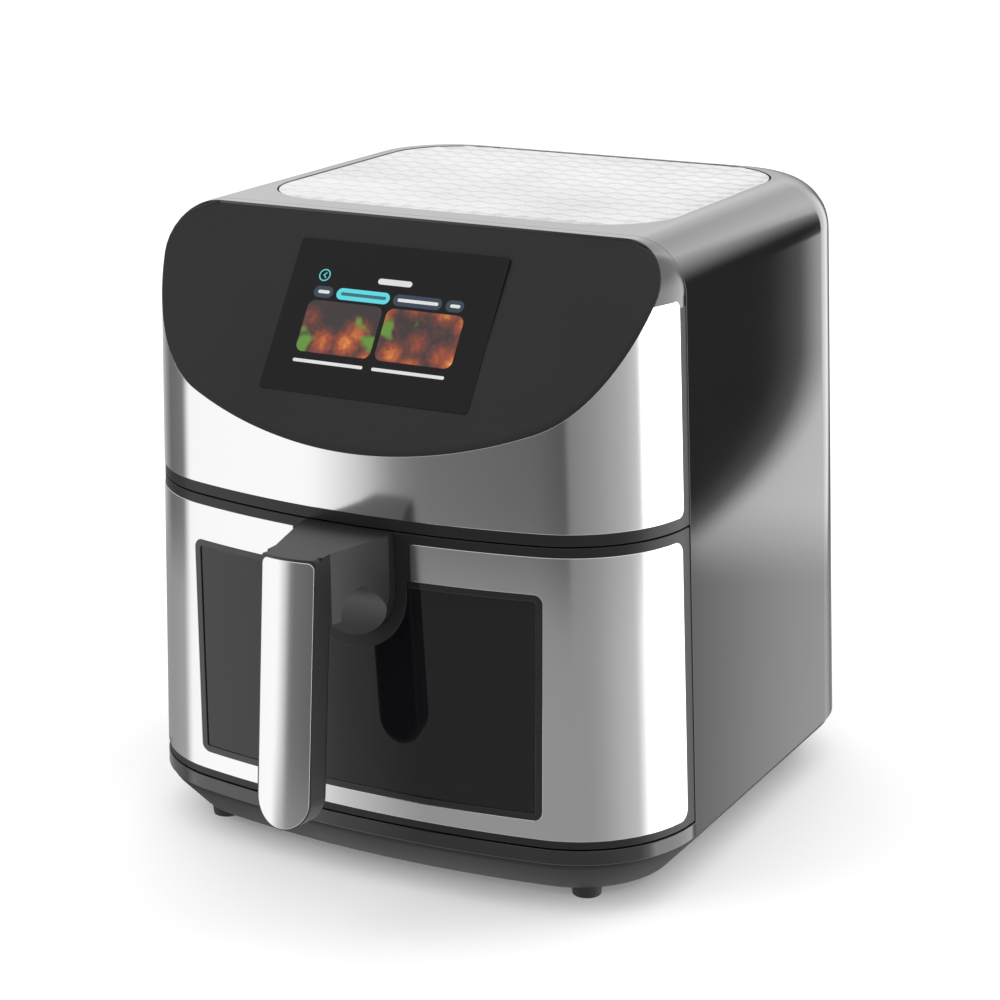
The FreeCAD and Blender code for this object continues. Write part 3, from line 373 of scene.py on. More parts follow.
def tinted_glass(name, colour, alpha):
    """Dark glass that lets a little through."""
    material = moulded(name, colour, 0.03, specular=0.6)
    shader = next(n for n in material.node_tree.nodes if n.type == "BSDF_PRINCIPLED")
    shader.inputs["Alpha"].default_value = alpha
    return material


def light_material(name, colour, strength):
    """Lit pixels of the display: emission that varies slightly across the piece."""
    material, tree, shader = new_material(name)
    cloud = noise(tree, texture_place(tree), 60.0)
    dim = tuple(c * 0.9 for c in colour)
    tree.links.new(ramp(tree, cloud, [(0.3, dim), (0.7, colour)]), shader.inputs["Emission Color"])
    shader.inputs["Emission Strength"].default_value = strength
    shader.inputs["Base Color"].default_value = (0.01, 0.01, 0.01, 1)
    shader.inputs["Roughness"].default_value = 0.25
    return material


MATERIALS = {
    "gloss_black": moulded("gloss_black", (0.012, 0.012, 0.013), 0.06, coat=0.6),
    "panel_black": moulded("panel_black", (0.016, 0.016, 0.017), 0.5, grain=0.15, specular=0.2),
    "satin_black": moulded("satin_black", (0.012, 0.012, 0.013), 0.34, grain=0.1, specular=0.35),
    "handle_black": moulded("handle_black", (0.02, 0.02, 0.021), 0.38, grain=0.12),
    "matte_black": moulded("matte_black", (0.012, 0.012, 0.013), 0.5, grain=0.2, specular=0.25),
    "window_black": moulded("window_black", (0.008, 0.008, 0.009), 0.08, coat=0.3),
    "window_glass": tinted_glass("window_glass", (0.004, 0.004, 0.005), 0.93),
    "display_glass": moulded("display_glass", (0.004, 0.004, 0.005), 0.2, specular=0.22),
    "clear_glass": tinted_glass("clear_glass", (0.2, 0.22, 0.22), 0.25),
    "inlay_silver": moulded("inlay_silver", (0.6, 0.6, 0.61), 0.27, metallic=0.55),
    "band_steel": metal("band_steel", (0.86, 0.86, 0.87), 0.13, (1, 1, 60), 0.05),
    "liner_steel": metal("liner_steel", (0.55, 0.55, 0.56), 0.35),
    "wire_steel": metal("wire_steel", (0.7, 0.7, 0.71), 0.25),
    "heater_steel": metal("heater_steel", (0.2, 0.17, 0.15), 0.45),
    "motor_steel": metal("motor_steel", (0.4, 0.4, 0.42), 0.4),
    "fan_aluminium": metal("fan_aluminium", (0.75, 0.75, 0.76), 0.3),
    "screw_steel": metal("screw_steel", (0.6, 0.6, 0.61), 0.3),
    "rubber_black": moulded("rubber_black", (0.015, 0.015, 0.015), 0.7, grain=0.3),
    "silicone": moulded("silicone", (0.03, 0.03, 0.03), 0.55),
    "pan_coating": moulded("pan_coating", (0.02, 0.02, 0.021), 0.35, grain=0.3),
    "electronics": moulded("electronics", (0.03, 0.03, 0.035), 0.5),
    "board_green": moulded("board_green", (0.01, 0.12, 0.04), 0.4),
}


def paint_cad_nodes():
    for entry in frame["record"]["subparts"]:
        mesh = frame["nodes"][entry["node"]].data
        mesh.materials.clear()
        mesh.materials.append(MATERIALS[entry["material_slot"]])


def fit(obj, body, slot, *nodes, material=None):
    """Give a piece its finish, its body and the CAD nodes it stands for."""
    obj.data.materials.clear()
    obj.data.materials.append(material or MATERIALS[slot])
    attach(obj, body)
    if nodes:
        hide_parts(*nodes)
    return obj


# ---------------------------------------------------------------- housing
def fillet_row(t):
    """Height, inset and tilt along the housing wall; t above FILLET_START turns into the top."""
    if t <= FILLET_START:
        return t, 0.0, 0.0
    tilt = (t - FILLET_START) / TOP_FILLET_R
    return FILLET_START + TOP_FILLET_R * math.sin(tilt), TOP_FILLET_R * (1 - math.cos(tilt)), tilt


def side_outline(z, inset):
    """Points and level normals from the right end of the seam, round the back, to the left end."""
    half, back = half_width(z), back_y(z)
    reach = REAR_CORNER_R - inset
    spine = []
    for t in spread(14)[:-1]:
        spine.append((half - inset, blend(SEAM_Y, back - REAR_CORNER_R, t), 0.0))
    for t in spread(15):
        a = math.pi / 2 * t
        x, y = half - REAR_CORNER_R + reach * math.cos(a), back - REAR_CORNER_R + reach * math.sin(a)
        spine.append((x, y, a))
    middle = [(x, back - inset, math.pi / 2) for x in (66, VENT_HALF, 24, 0)]
    right = [(Vector((x, y, z)), Vector((math.cos(a), math.sin(a), 0))) for x, y, a in spine + middle]
    left = [(Vector((-p.x, p.y, p.z)), Vector((-n.x, n.y, 0))) for p, n in reversed(right[:-1])]
    return right + left


def tilted(pairs, tilt):
    """The same points with their level normals turned up."""
    return [(p, n * math.cos(tilt) + UP * math.sin(tilt)) for p, n in pairs]


def inlay_nearest(point, grow):
    """Nearest point of the inlay's outline, grown."""
    half, low, high = INLAY_HALF - INLAY_R, INLAY_Y[0] + INLAY_R, INLAY_Y[1] - INLAY_R
    core = Vector((max(-half, min(half, point.x)), max(low, min(high, point.y)), point.z))
    return core + (point - core).normalized() * (INLAY_R + grow)


def in_vent(corners):
    """Whether a face of the housing lies in the opening of the rear outlet."""
    middle = sum(corners, Vector()) / len(corners)
    return middle.y > 150 and abs(middle.x) < VENT_HALF and VENT_Z[0] < middle.z < VENT_Z[1]


def outer_housing():
    """Shell of sides, back and top, with the lip under the drawer, the outlet and the inlay's opening."""
    sheet = Sheet()
    heights = [BASE_TOP, 30.5, LIP_TOP - 0.4, *WALL_ROWS, FILLET_START]
    heights += [FILLET_START + TOP_FILLET_R * math.pi / 2 * t for t in spread(15)[1:]]
    rows = []
    for t in heights:
        z, inset, tilt = fillet_row(t)
        rows.append(tilted(side_outline(z, inset), tilt))
    sheet.grid(rows)
    sheet.faces = [face for face in sheet.faces if not in_vent([sheet.points[i] for i in face])]
    seam = front_surface(SEAM_Y)
    lip = [[surfaced(seam, 2 * t - 1, z) for t in spread(61)] for z in heights[:3]]
    sheet.grid(lip)
    brim = [p for p, _ in rows[-1]]
    brim += [blend(brim[-1], brim[0], t) for t in spread(24)[1:-1]]
    top = []
    for t in (0, 0.35, 0.7, 1):
        top.append([(blend(p, inlay_nearest(p, INLAY_GAP + 0.4), t), UP) for p in brim])
    sheet.grid(top, closed=True)
    return fit(sheet.solid("housing_shell", 3.0, 0.4), "housing", "gloss_black", "outer_housing")


def cord_inlet():
    """Ring round the place where the supply cord would enter."""
    face_y = BACK_Y - 0.1
    sheet = Sheet()
    rows = []
    for radius in (8.4, 6.0, 3.8):
        ring = []
        for i in range(40):
            a = 2 * math.pi * i / 40
            point = Vector((GLAND_X + radius * math.cos(a), face_y, GLAND_Z + radius * math.sin(a)))
            ring.append((point, BACKWARD))
        rows.append(ring)
    sheet.grid(rows, closed=True)
    return fit(sheet.solid("cord_inlet_ring", 4.0, 0.3), "housing", "rubber_black", "cable_gland")


def base_skirt():
    """Bevelled foot of the body, from under the shell down to the feet."""
    sheet = Sheet()
    rows = [skirt_row(z + 0.1, inset, math.radians(tilt)) for z, inset, tilt in SKIRT_SECTION]
    sheet.grid(rows, closed=True)
    underside = [(Vector((0, 30, FOOT_HEIGHT)), DOWN)] * len(rows[0])
    sheet.grid([rows[-1], underside], closed=True)
    return fit(sheet.solid("base_skirt", 2.5, 0.2), "housing", "matte_black", "base_tray")


def skirt_row(z, inset, tilt):
    """Outline of the skirt at a height, with its normals turned down by tilt."""
    seam = front_surface(SEAM_Y)
    back = side_outline(BASE_TOP, inset)
    front = [surfaced(seam, 2 * t - 1, BASE_TOP, inset) for t in spread(41)[1:-1]]
    row = []
    for p, n in back + front:
        row.append((Vector((p.x, p.y, z)), n.normalized() * math.cos(tilt) + DOWN * math.sin(tilt)))
    return row


def weave(x, y):
    """Height of the woven relief: diagonal strands passing over and under each other."""
    u, v = (x + y) / WEAVE_PITCH, (x - y) / WEAVE_PITCH
    over = math.sin(math.pi * u) * math.sin(math.pi * v)
    return WEAVE_HEIGHT * (over if over > 0 else 0.6 * over)


def top_inlay():
    """Woven panel let into the top; its relief fades out towards the edge."""
    sheet = Sheet()
    step = 0.02
    middle, depth = sum(INLAY_Y) / 2, (INLAY_Y[1] - INLAY_Y[0]) / 2
    rows = []
    for v in spread(131):
        t = math.sin(math.pi * (v - 0.5))
        y = blend(2 * v - 1, t, 0.35) * depth
        beyond = max(0.0, abs(y) - depth + INLAY_R)
        half = INLAY_HALF - 0.3 - INLAY_R + math.sqrt(max(0.0, INLAY_R ** 2 - beyond ** 2))
        row = []
        for u in spread(150):
            x = (2 * u - 1) * half
            fade = min(1.0, (half - abs(x)) / WEAVE_FADE, (depth - abs(y)) / WEAVE_FADE)
            h = weave(x, y)
            dx = (weave(x + step, y) - h) / step
            dy = (weave(x, y + step) - h) / step
            row.append((Vector((x, middle + y, TOP - 0.3 + h * fade)), Vector((-dx * fade, -dy * fade, 1))))
        rows.append(row)
    sheet.grid(rows)
    return fit(sheet.solid("top_inlay_panel", 1.2, 0.3), "housing", "inlay_silver", "top_inlay")


# ---------------------------------------------------------------- upper front
def upper_steel_top(place, k):
    """Height where the upper band ends below the control panel."""
    z = 260.0
    for _ in range(12):
        y = place(k, z).y
        plane = DISPLAY_Z + (y - DISPLAY_Y) / math.tan(DISPLAY_TILT) - PANEL_EDGE / math.sin(DISPLAY_TILT)
        z = min(rim_height(y), plane - 0.3, UPPER_STEEL_Z[1])
    return z


def upper_steel():
    """Bright band between the control panel and the drawer."""
    place = front_surface(UPPER_EDGE_Y)
    corner = UPPER_CORNER / BAND_REACH
    columns = []
    for k in rounded_ends(90, corner):
        low, high = UPPER_STEEL_Z[0], upper_steel_top(place, k)
        beyond = max(0.0, (abs(k) - (1 - corner)) / corner)
        cut = UPPER_CORNER * (1 - math.sqrt(max(0.0, 1 - beyond ** 2)))
        columns.append((k, low + cut, high - cut))
    sheet = Sheet()
    rows = []
    for t in spread(26):
        rows.append([surfaced(place, k, blend(low, high, t)) for k, low, high in columns])
    sheet.grid(rows)
    return fit(sheet.solid("upper_steel", 0.8, 0.3), "housing", "band_steel", "upper_steel_band")


def upper_carrier():
    """Black shell behind the upper band: it shows below it, beside it and as the arch over it."""
    place = front_surface(CARRIER_EDGE_Y)
    sheet = Sheet()
    rows = []
    columns = [2 * t - 1 for t in spread(71)]
    tops = [min(UPPER_STEEL_Z[1] + 1.0, rim_height(place(k, 250).y) - 4.0) for k in columns]
    for t in spread(12):
        rows.append([surfaced(place, k, blend(CARRIER_BOTTOM + 0.4, top, t), BAND_SINK)
                     for k, top in zip(columns, tops)])
    sheet.grid(rows)
    return fit(sheet.solid("upper_carrier", 2.4, 0.4), "housing", "satin_black", "front_frame")


def arch_point(height, inset, y):
    """Point and level normal on the body's right front corner where it reaches this y."""
    reach = CORNER_R - inset
    level = (SEAM_Y - y) / reach
    x = half_width(height) - CORNER_R + reach * math.sqrt(1 - level ** 2)
    return Vector((x, y, height)), Vector((math.sqrt(1 - level ** 2), -level, 0))


def arch_trim():
    """Glossy arch between the control panel and the housing."""
    section = [(z, 0.0, 0.0) for z in (UPPER_STEEL_Z[1] - 3.5, UPPER_STEEL_Z[1])]
    section += [fillet_row(FILLET_START + TOP_FILLET_R * math.pi / 2 * t) for t in spread(15)]
    behind = PANEL_EDGE + 0.3
    right = []
    for z, inset, tilt in section:
        front = DISPLAY_Y + (z - DISPLAY_Z) * math.tan(DISPLAY_TILT) + behind / math.cos(DISPLAY_TILT)
        if z < UPPER_STEEL_Z[1]:
            front = UPPER_EDGE_Y + 0.4
        line = [arch_point(z, inset, blend(front, CARRIER_EDGE_Y, t)) for t in spread(9)]
        right.append(tilted(line, tilt))
    rim = right[-1]
    for t in (0.25, 0.5, 0.75, 1.0):
        right.append([(Vector((p.x * (1 - t), p.y, p.z)), UP) for p, _ in rim])
    left = [[(Vector((-p.x, p.y, p.z)), Vector((-n.x, n.y, n.z))) for p, n in line] for line in right[:-1]]
    sheet = Sheet()
    sheet.grid(right + left[::-1])
    return fit(sheet.solid("arch_trim", 2.0, 0.3), "housing", "gloss_black")


def panel_loop(drop, inset):
    """Where the plane a drop below the display cuts the body's front, right round the panel."""
    place = front_surface(PANEL_SIDE_Y)

    def point_at(k, t):
        z, fillet, tilt = fillet_row(t)
        return place(k, z, fillet + inset * math.cos(tilt)) - Vector((0, 0, inset * math.sin(tilt)))

    points = []
    for share in spread(141):
        k = 2 * share - 1
        low, high = 180.0, FILLET_START + TOP_FILLET_R * math.pi / 2
        for _ in range(40):
            t = (low + high) / 2
            if above_display(point_at(k, t)) > -drop:
                high = t
            else:
                low = t
        points.append(point_at(k, low))
    return points


def control_panel():
    """Flat plate over the whole tilted section, thicker towards the lower edge."""
    loops = []
    for degrees in (0, 22.5, 45, 67.5, 90):
        angle = math.radians(degrees)
        inset = PANEL_ROUNDING * (1 - math.sin(angle))
        drop = PANEL_ROUNDING * (1 - math.cos(angle)) * 0.7
        loops.append(panel_loop(drop, inset))
    loops.append([lowest_edge(p) for p in loops[-1]])
    loops.append([p + Vector((0, 6, -1)) for p in loops[-1]])
    points = [point for loop in loops for point in loop]
    faces = []
    n = len(loops[0])
    for j in range(len(loops) - 1):
        for i in range(n):
            a, b = j * n + i, j * n + (i + 1) % n
            faces.append([a, a + n, b + n, b])
    faces.append(list(range(n))[::-1])
    faces.append([(len(loops) - 1) * n + i for i in range(n)])
    obj = new_object("control_plate", points, faces)
    recalculate(obj)
    weighted = obj.modifiers.new("weighted", "WEIGHTED_NORMAL")
    weighted.keep_sharp = True
    return fit(obj, "housing", "panel_black", "control_panel")


def lowest_edge(point):
    """The point moved down the body to where the plate's visible edge ends."""
    plane = DISPLAY_Z + (point.y - DISPLAY_Y) / math.tan(DISPLAY_TILT) - PANEL_EDGE / math.sin(DISPLAY_TILT)
    low = min(plane, rim_height(point.y) + 0.35, point.z)
    if point.z > FILLET_START:
        return point - (on_display(0, 0, 1) - on_display(0, 0)) * PANEL_EDGE
    return Vector((point.x, point.y, low))


def recalculate(obj):
    """Turn every face of a closed mesh outwards."""
    shape = bmesh.new()
    shape.from_mesh(obj.data)
    bmesh.ops.recalc_face_normals(shape, faces=shape.faces)
    shape.to_mesh(obj.data)
    shape.free()


def flat_piece(name, outline, out0, out1, bevel=0.0):
    """Plate parallel to the display; outline is anticlockwise (across, up) points."""
    n = len(outline)
    points = [on_display(u, v, out1) for u, v in outline] + [on_display(u, v, out0) for u, v in outline]
    faces = [list(range(n)), [n + i for i in range(n)][::-1]]
    for i in range(n):
        j = (i + 1) % n
        faces.append([i, n + i, n + j, j])
    obj = new_object(name, points, faces)
    recalculate(obj)
    for face in obj.data.polygons:
        face.use_smooth = False
    if bevel:
        edge = obj.modifiers.new("edge", "BEVEL")
        edge.width = bevel * MM
        edge.segments = 2
        edge.limit_method = "ANGLE"
        edge.angle_limit = math.radians(60)
    return obj


def display_glass():
    """Cover glass of the display, standing just proud of the panel."""
    outline = rounded(2, 6, -GLASS_W / 2, GLASS_W / 2, -GLASS_H / 2, GLASS_H / 2, 2.0)
    glass = flat_piece("display_cover", outline, -1.0, 0.3, 0.2)
    return fit(glass, "housing", "display_glass", "display_glass")


# ---------------------------------------------------------------- drawer front
def ring_sheet(place, outer, inner, steps, sink=0.0, closed=True):
    """Strip between two loops given as (k, z)."""
    sheet = Sheet()
    rows = []
    for t in spread(steps):
        rows.append([surfaced(place, blend(a[0], b[0], t), blend(a[1], b[1], t), sink)
                     for a, b in zip(outer, inner)])
    sheet.grid(rows, closed=closed)
    return sheet


def window_loop(grow, gap):
    """Outline of the window as (x, z), clockwise from the gap's right end round to its left."""
    radius = max(1.0, WINDOW_R + grow)
    return rounded_path(WINDOW_HALF + grow, WINDOW_Z[0] - grow, WINDOW_Z[1] + grow, radius, gap)


def rounded_path(x1, z0, z1, radius, gap):
    """Open path from (gap, z1) clockwise round a rounded rectangle to (-gap, z1)."""
    def arc(cx, cz, start):
        out = []
        for t in spread(8):
            a = math.radians(start - 90 * t)
            out.append((cx + radius * math.cos(a), cz + radius * math.sin(a)))
        return out

    def line(a, b):
        return [(blend(a[0], b[0], t), blend(a[1], b[1], t)) for t in spread(SIDE_STEPS)[1:-1]]

    half = [(gap, z1)] + line((gap, z1), (x1 - radius, z1))
    half += arc(x1 - radius, z1 - radius, 90)
    half += line((x1, z1 - radius), (x1, z0 + radius))
    half += arc(x1 - radius, z0 + radius, 0)
    half += line((x1 - radius, z0), (0, z0))
    half.append((0, z0))
    return half + [(-x, z) for x, z in reversed(half[:-1])]


def as_k(points, edge_y):
    """The same points with x turned into the k of front_surface(edge_y)."""
    return [(width_at(x, z, edge_y), z) for x, z in points]


def lower_steel():
    """Bright loop round the window, open under the handle's arm."""
    inner = as_k(window_loop(0.35, STEEL_GAP_HALF), LOWER_EDGE_Y)
    low, high = LOWER_STEEL_Z
    gap_end = width_at(STEEL_GAP_HALF, high, LOWER_EDGE_Y) * BAND_REACH
    outer = []
    for x, z in rounded_path(BAND_REACH, low, high, LOWER_CORNER, STEEL_GAP_HALF):
        k = x / BAND_REACH
        beyond_gap = abs(k) * BAND_REACH - STEEL_GAP_HALF
        if z > high - 0.01 and beyond_gap >= 0:
            along = beyond_gap / (BAND_REACH - STEEL_GAP_HALF)
            k = math.copysign(blend(gap_end, BAND_REACH, along) / BAND_REACH, k)
        outer.append((k, z))
    sheet = ring_sheet(front_surface(LOWER_EDGE_Y), outer, inner, 34, closed=False)
    return fit(sheet.solid("lower_steel", 0.8, 0.3), "drawer", "band_steel", "lower_steel_band")


def tab_edge():
    """Lower edge of the handle tab as (x, z): down, round its half circle and up, left to right."""
    curve = []
    for t in spread(41):
        a = -math.pi * t
        curve.append((TAB_R * math.cos(a), TAB_CENTRE_Z + TAB_R * math.sin(a)))
    return [(-TAB_R, TAB_SIDE_Z)] + curve[::-1] + [(TAB_R, TAB_SIDE_Z)]


def drawer_shell():
    """Black shell of the drawer front with its window opening and the tab for the handle."""
    reach = 195.0
    opening = rounded_path(WINDOW_HALF - 1.0, WINDOW_Z[0] + 1.0, WINDOW_Z[1] - 1.0, 3.5, TAB_R)
    inner = opening + tab_edge()
    top, bottom = DRAWER_TOP - 0.4, DRAWER_BOTTOM + 0.4
    outer = [(x / reach, z) for x, z in rounded_path(reach, bottom, top, 1.0, TAB_R)]
    outer += [(x / reach, top) for x, _ in tab_edge()]
    place = front_surface(DRAWER_EDGE_Y)
    sheet = ring_sheet(place, outer, as_k(inner, DRAWER_EDGE_Y), 22, BAND_SINK)
    return fit(sheet.solid("drawer_shell", 2.4, 0.4), "drawer", "satin_black", "drawer_front")


def drawer_plate(name, z, thickness, edge_of):
    """Level plate inside the drawer front, out to the shell and in to edge_of(point)."""
    place = front_surface(DRAWER_EDGE_Y)
    outer = [place(0.998 * (2 * t - 1), z, BAND_SINK + 2.0) for t in spread(81)]
    sheet = Sheet()
    sheet.grid([[(blend(p, edge_of(p), t), UP) for p in outer] for t in (0, 0.5, 1)])
    return fit(sheet.solid(name, thickness, 0.3), "drawer", "satin_black")


def beside_pan(point):
    """Nearest point of the opening for the pan."""
    core_x = max(-PAN_RIM_HALF + PAN_RIM_R, min(PAN_RIM_HALF - PAN_RIM_R, point.x))
    core = Vector((core_x, max(PAN_RIM_FRONT + PAN_RIM_R, point.y), point.z))
    return core + (point - core).normalized() * PAN_RIM_R


def below_pan(point):
    """Place at the back of the drawer front, level with the point."""
    return Vector((point.x * 0.97, SEAM_Y - 1.4, point.z))


def window_border():
    """Thin raised border between the steel and the window."""
    outer = as_k(window_loop(-0.3, TAB_R + 0.8), LOWER_EDGE_Y)
    inner = as_k(window_loop(-WINDOW_BORDER, TAB_R + 0.8), LOWER_EDGE_Y)
    sheet = ring_sheet(front_surface(LOWER_EDGE_Y), outer, inner, 4, 0.15, closed=False)
    return fit(sheet.solid("window_border", 1.2, 0.35), "drawer", "window_black", "window_frame")


def window_pane():
    """Tinted glass up to the border, cut away under the tab."""
    place = front_surface(LOWER_EDGE_Y)
    x1 = WINDOW_HALF - WINDOW_BORDER + 0.4
    z0, z1 = WINDOW_Z[0] + WINDOW_BORDER - 0.4, WINDOW_Z[1] - WINDOW_BORDER + 0.4
    radius = TAB_R + 0.5
    xs = [radius + (x1 - radius) * t for t in spread(24)]
    inside = [radius * math.sin(math.pi / 2 * t) * 0.9999 for t in spread(24)]
    columns = [(-x, z1) for x in reversed(xs)]
    columns += [(-x, TAB_CENTRE_Z - math.sqrt(radius ** 2 - x ** 2)) for x in reversed(inside[1:])]
    columns += [(x, TAB_CENTRE_Z - math.sqrt(radius ** 2 - x ** 2)) for x in inside]
    columns += [(x, z1) for x in xs]
    sheet = Sheet()
    rows = []
    for t in spread(14):
        row = []
        for x, high in columns:
            z = blend(z0, high, t)
            row.append(surfaced(place, width_at(x, z, LOWER_EDGE_Y), z, 0.8))
        rows.append(row)
    sheet.grid(rows)
    return fit(sheet.solid("window_pane", 1.6, 0.0, 1), "drawer", "window_glass", "window_glass")


# ---------------------------------------------------------------- handle
def lean_point(point):
    """Turn a point of the upright grip about its top front edge."""
    offset = point - HANDLE_PIVOT
    cos, sin = math.cos(-HANDLE_LEAN), math.sin(-HANDLE_LEAN)
    return HANDLE_PIVOT + Vector((offset.x, offset.y * cos - offset.z * sin, offset.y * sin + offset.z * cos))


def handle_face():
    """Crowned steel plate on the front of the grip, with a round foot."""
    radius = (FACE_HALF ** 2 + CROWN ** 2) / (2 * CROWN)
    low, high = FACE_Z
    half = FACE_HALF - 0.4
    sheet = Sheet()
    rows = []
    columns = [math.sin(math.pi / 2 * (2 * t - 1)) for t in spread(49)]
    for t in spread(40):
        row = []
        for c in columns:
            x = c * half
            foot = low + half - math.sqrt(max(0.0, half ** 2 - x ** 2))
            beyond = max(0.0, abs(x) - half + FACE_HEAD_R)
            head = high - FACE_HEAD_R + math.sqrt(max(0.0, FACE_HEAD_R ** 2 - beyond ** 2))
            z = blend(foot, head, t)
            point = Vector((x, FACE_TOP_Y + radius - math.sqrt(radius ** 2 - x ** 2), z))
            normal = Vector((x / radius, -math.sqrt(1 - (x / radius) ** 2), 0))
            row.append((lean_point(point), lean_point(HANDLE_PIVOT + normal) - HANDLE_PIVOT))
        rows.append(row)
    sheet.grid(rows)
    return fit(sheet.solid("handle_plate", 1.0, 0.4), "drawer", "band_steel", "handle_face")


def soften(node, width):
    """Small rounded edges and even shading on a CAD piece."""
    obj = frame["nodes"][node]
    edge = obj.modifiers.new("edge", "BEVEL")
    edge.width = width * MM
    edge.segments = 3
    edge.limit_method = "ANGLE"
    edge.angle_limit = math.radians(35)
    edge.harden_normals = True


# ---------------------------------------------------------------- picture on the display
SCREEN_LEVEL = 0.32            # lit pieces end this far out from the display's middle plane
BACK_AT, BACK_R = (-39.5, 21.2), 3.2
BACK_MARK = ((-38.7, 22.8), (-40.4, 21.2), (-38.7, 19.6), (-38.3, 20.0), (-39.5, 21.2), (-38.3, 22.4))
SCREEN_TABS = ((-43, -32), (-30, 0), (2, 29), (31, 41))
CHOSEN_TAB = 1
SCREEN_PICTURES = ((-44, -2), (0.5, 43))


def on_screen(name, outline, out=SCREEN_LEVEL, material=None):
    """Thin flat piece on the display."""
    fit(flat_piece(name, outline, 0.2, out), "housing", "display_glass", material=material)


def pill(name, u0, u1, v0, v1, material, radius=None, out=SCREEN_LEVEL):
    """Bar on the display, with round ends unless a smaller radius is given."""
    size = min(u1 - u0, v1 - v0) / 2
    on_screen(name, rounded(2, 7, u0, u1, v0, v1, min(size, radius or size) - 0.001), out, material)


def back_button(finish):
    """Ring with an arrow head in it."""
    u0, v0 = BACK_AT
    angles = [2 * math.pi * i / 32 for i in range(32)]
    circle = [(u0 + BACK_R * math.cos(a), v0 + BACK_R * math.sin(a)) for a in angles]
    on_screen("screen_back", circle, material=finish)
    hole = [(u + (u0 - u) * 0.2, v + (v0 - v) * 0.2) for u, v in circle]
    on_screen("screen_back_inside", hole, SCREEN_LEVEL + 0.02)
    on_screen("screen_back_mark", BACK_MARK, SCREEN_LEVEL + 0.04, finish)


def screen_pieces():
    """Recipe screen: back mark, title bar, row of pills, two food pictures and their captions."""
    teal = light_material("screen_teal", (0.10, 0.62, 0.66), 1.0)
    cyan = light_material("screen_cyan", (0.09, 0.68, 0.78), 1.0)
    navy = light_material("screen_navy", (0.008, 0.03, 0.06), 1.0)
    white = light_material("screen_white", (0.75, 0.75, 0.75), 1.0)
    ink = light_material("screen_ink", (0.01, 0.14, 0.16), 1.0)
    back_button(teal)
    pill("screen_title", -9, 10, 19.5, 22.5, white)
    for i, (u0, u1) in enumerate(SCREEN_TABS):
        finish, word = (cyan, ink) if i == CHOSEN_TAB else (navy, white)
        pill(f"screen_tab_{i}", u0, u1, 9.5, 15.5, finish)
        pill(f"screen_tab_word_{i}", u0 + 2.5, u1 - 2.0, 11.7, 13.4, word, out=SCREEN_LEVEL + 0.03)
    for i, (u0, u1) in enumerate(SCREEN_PICTURES):
        picture = food_material(f"screen_food_{i}", i)
        pill(f"screen_picture_{i}", u0, u1, -19, 8, picture, radius=4.0)
        pill(f"screen_caption_{i}", u0 + 0.5, u1 - 2, -24.5, -22.8, white)


def food_material(name, seed):
    """Generic picture of browned food: warm blobs with highlights and a little green."""
    material, tree, shader = new_material(name)
    where = texture_place(tree)
    where.node.inputs["Location"].default_value = (seed * 3.1, 0.4 * seed, 0.7)
    blobs = tree.nodes.new("ShaderNodeTexVoronoi")
    blobs.inputs["Scale"].default_value = 70.0
    blobs.inputs["Randomness"].default_value = 0.9
    tree.links.new(where, blobs.inputs["Vector"])
    fine = noise(tree, where, 420.0, 4.0)
    mix = tree.nodes.new("ShaderNodeMath")
    mix.operation = "MULTIPLY_ADD"
    tree.links.new(fine, mix.inputs[0])
    mix.inputs[1].default_value = 0.45
    tree.links.new(blobs.outputs["Distance"], mix.inputs[2])
    stops = [(0.2, (0.9, 0.5, 0.2)), (0.34, (0.62, 0.17, 0.02)), (0.55, (0.3, 0.045, 0.01)),
             (0.75, (0.1, 0.02, 0.01)), (0.95, (0.02, 0.01, 0.01))]
    food = ramp(tree, mix.outputs[0], stops)
    herb = ramp(tree, noise(tree, where, 60.0), [(0.6, 0.0), (0.66, 1.0)])
    blend_node = tree.nodes.new("ShaderNodeMix")
    blend_node.data_type = "RGBA"
    tree.links.new(herb, blend_node.inputs["Factor"])
    tree.links.new(food, blend_node.inputs["A"])
    blend_node.inputs["B"].default_value = (0.1, 0.25, 0.02, 1)
    tree.links.new(blend_node.outputs["Result"], shader.inputs["Emission Color"])
    shader.inputs["Emission Strength"].default_value = 1.0
    shader.inputs["Base Color"].default_value = (0.01, 0.01, 0.01, 1)
    return material


# ---------------------------------------------------------------- studio
CAMERA_AT = Vector((625.27, -1118.97, 554.77)) * MM
CAMERA_AZIMUTH, CAMERA_ELEVATION, CAMERA_ROLL = (math.radians(d) for d in (28.499, 16.821, -0.4))
CAMERA_LENS = 92.57
FLOOR_SIZE, FLOOR_GLOW, SURROUND_GLOW = 14.0, 0.16, 1.08


def camera():
    """Camera at the viewing angle, turned a little about its own axis."""
    a, e, r = CAMERA_AZIMUTH, CAMERA_ELEVATION, CAMERA_ROLL
    forward = Vector((-math.sin(a) * math.cos(e), math.cos(a) * math.cos(e), -math.sin(e)))
    level = Vector((math.cos(a), math.sin(a), 0))
    up = level.cross(forward)
    right = level * math.cos(r) + up * math.sin(r)
    top = -level * math.sin(r) + up * math.cos(r)
    data = bpy.data.cameras.new("camera")
    data.sensor_width = 36.0
    data.lens = CAMERA_LENS
    data.clip_start, data.clip_end = 0.05, 60.0
    obj = bpy.data.objects.new("camera", data)
    turn = Matrix((right, top, -forward)).transposed().to_4x4()
    obj.matrix_world = Matrix.Translation(CAMERA_AT) @ turn
    bpy.context.scene.collection.objects.link(obj)
    bpy.context.scene.camera = obj


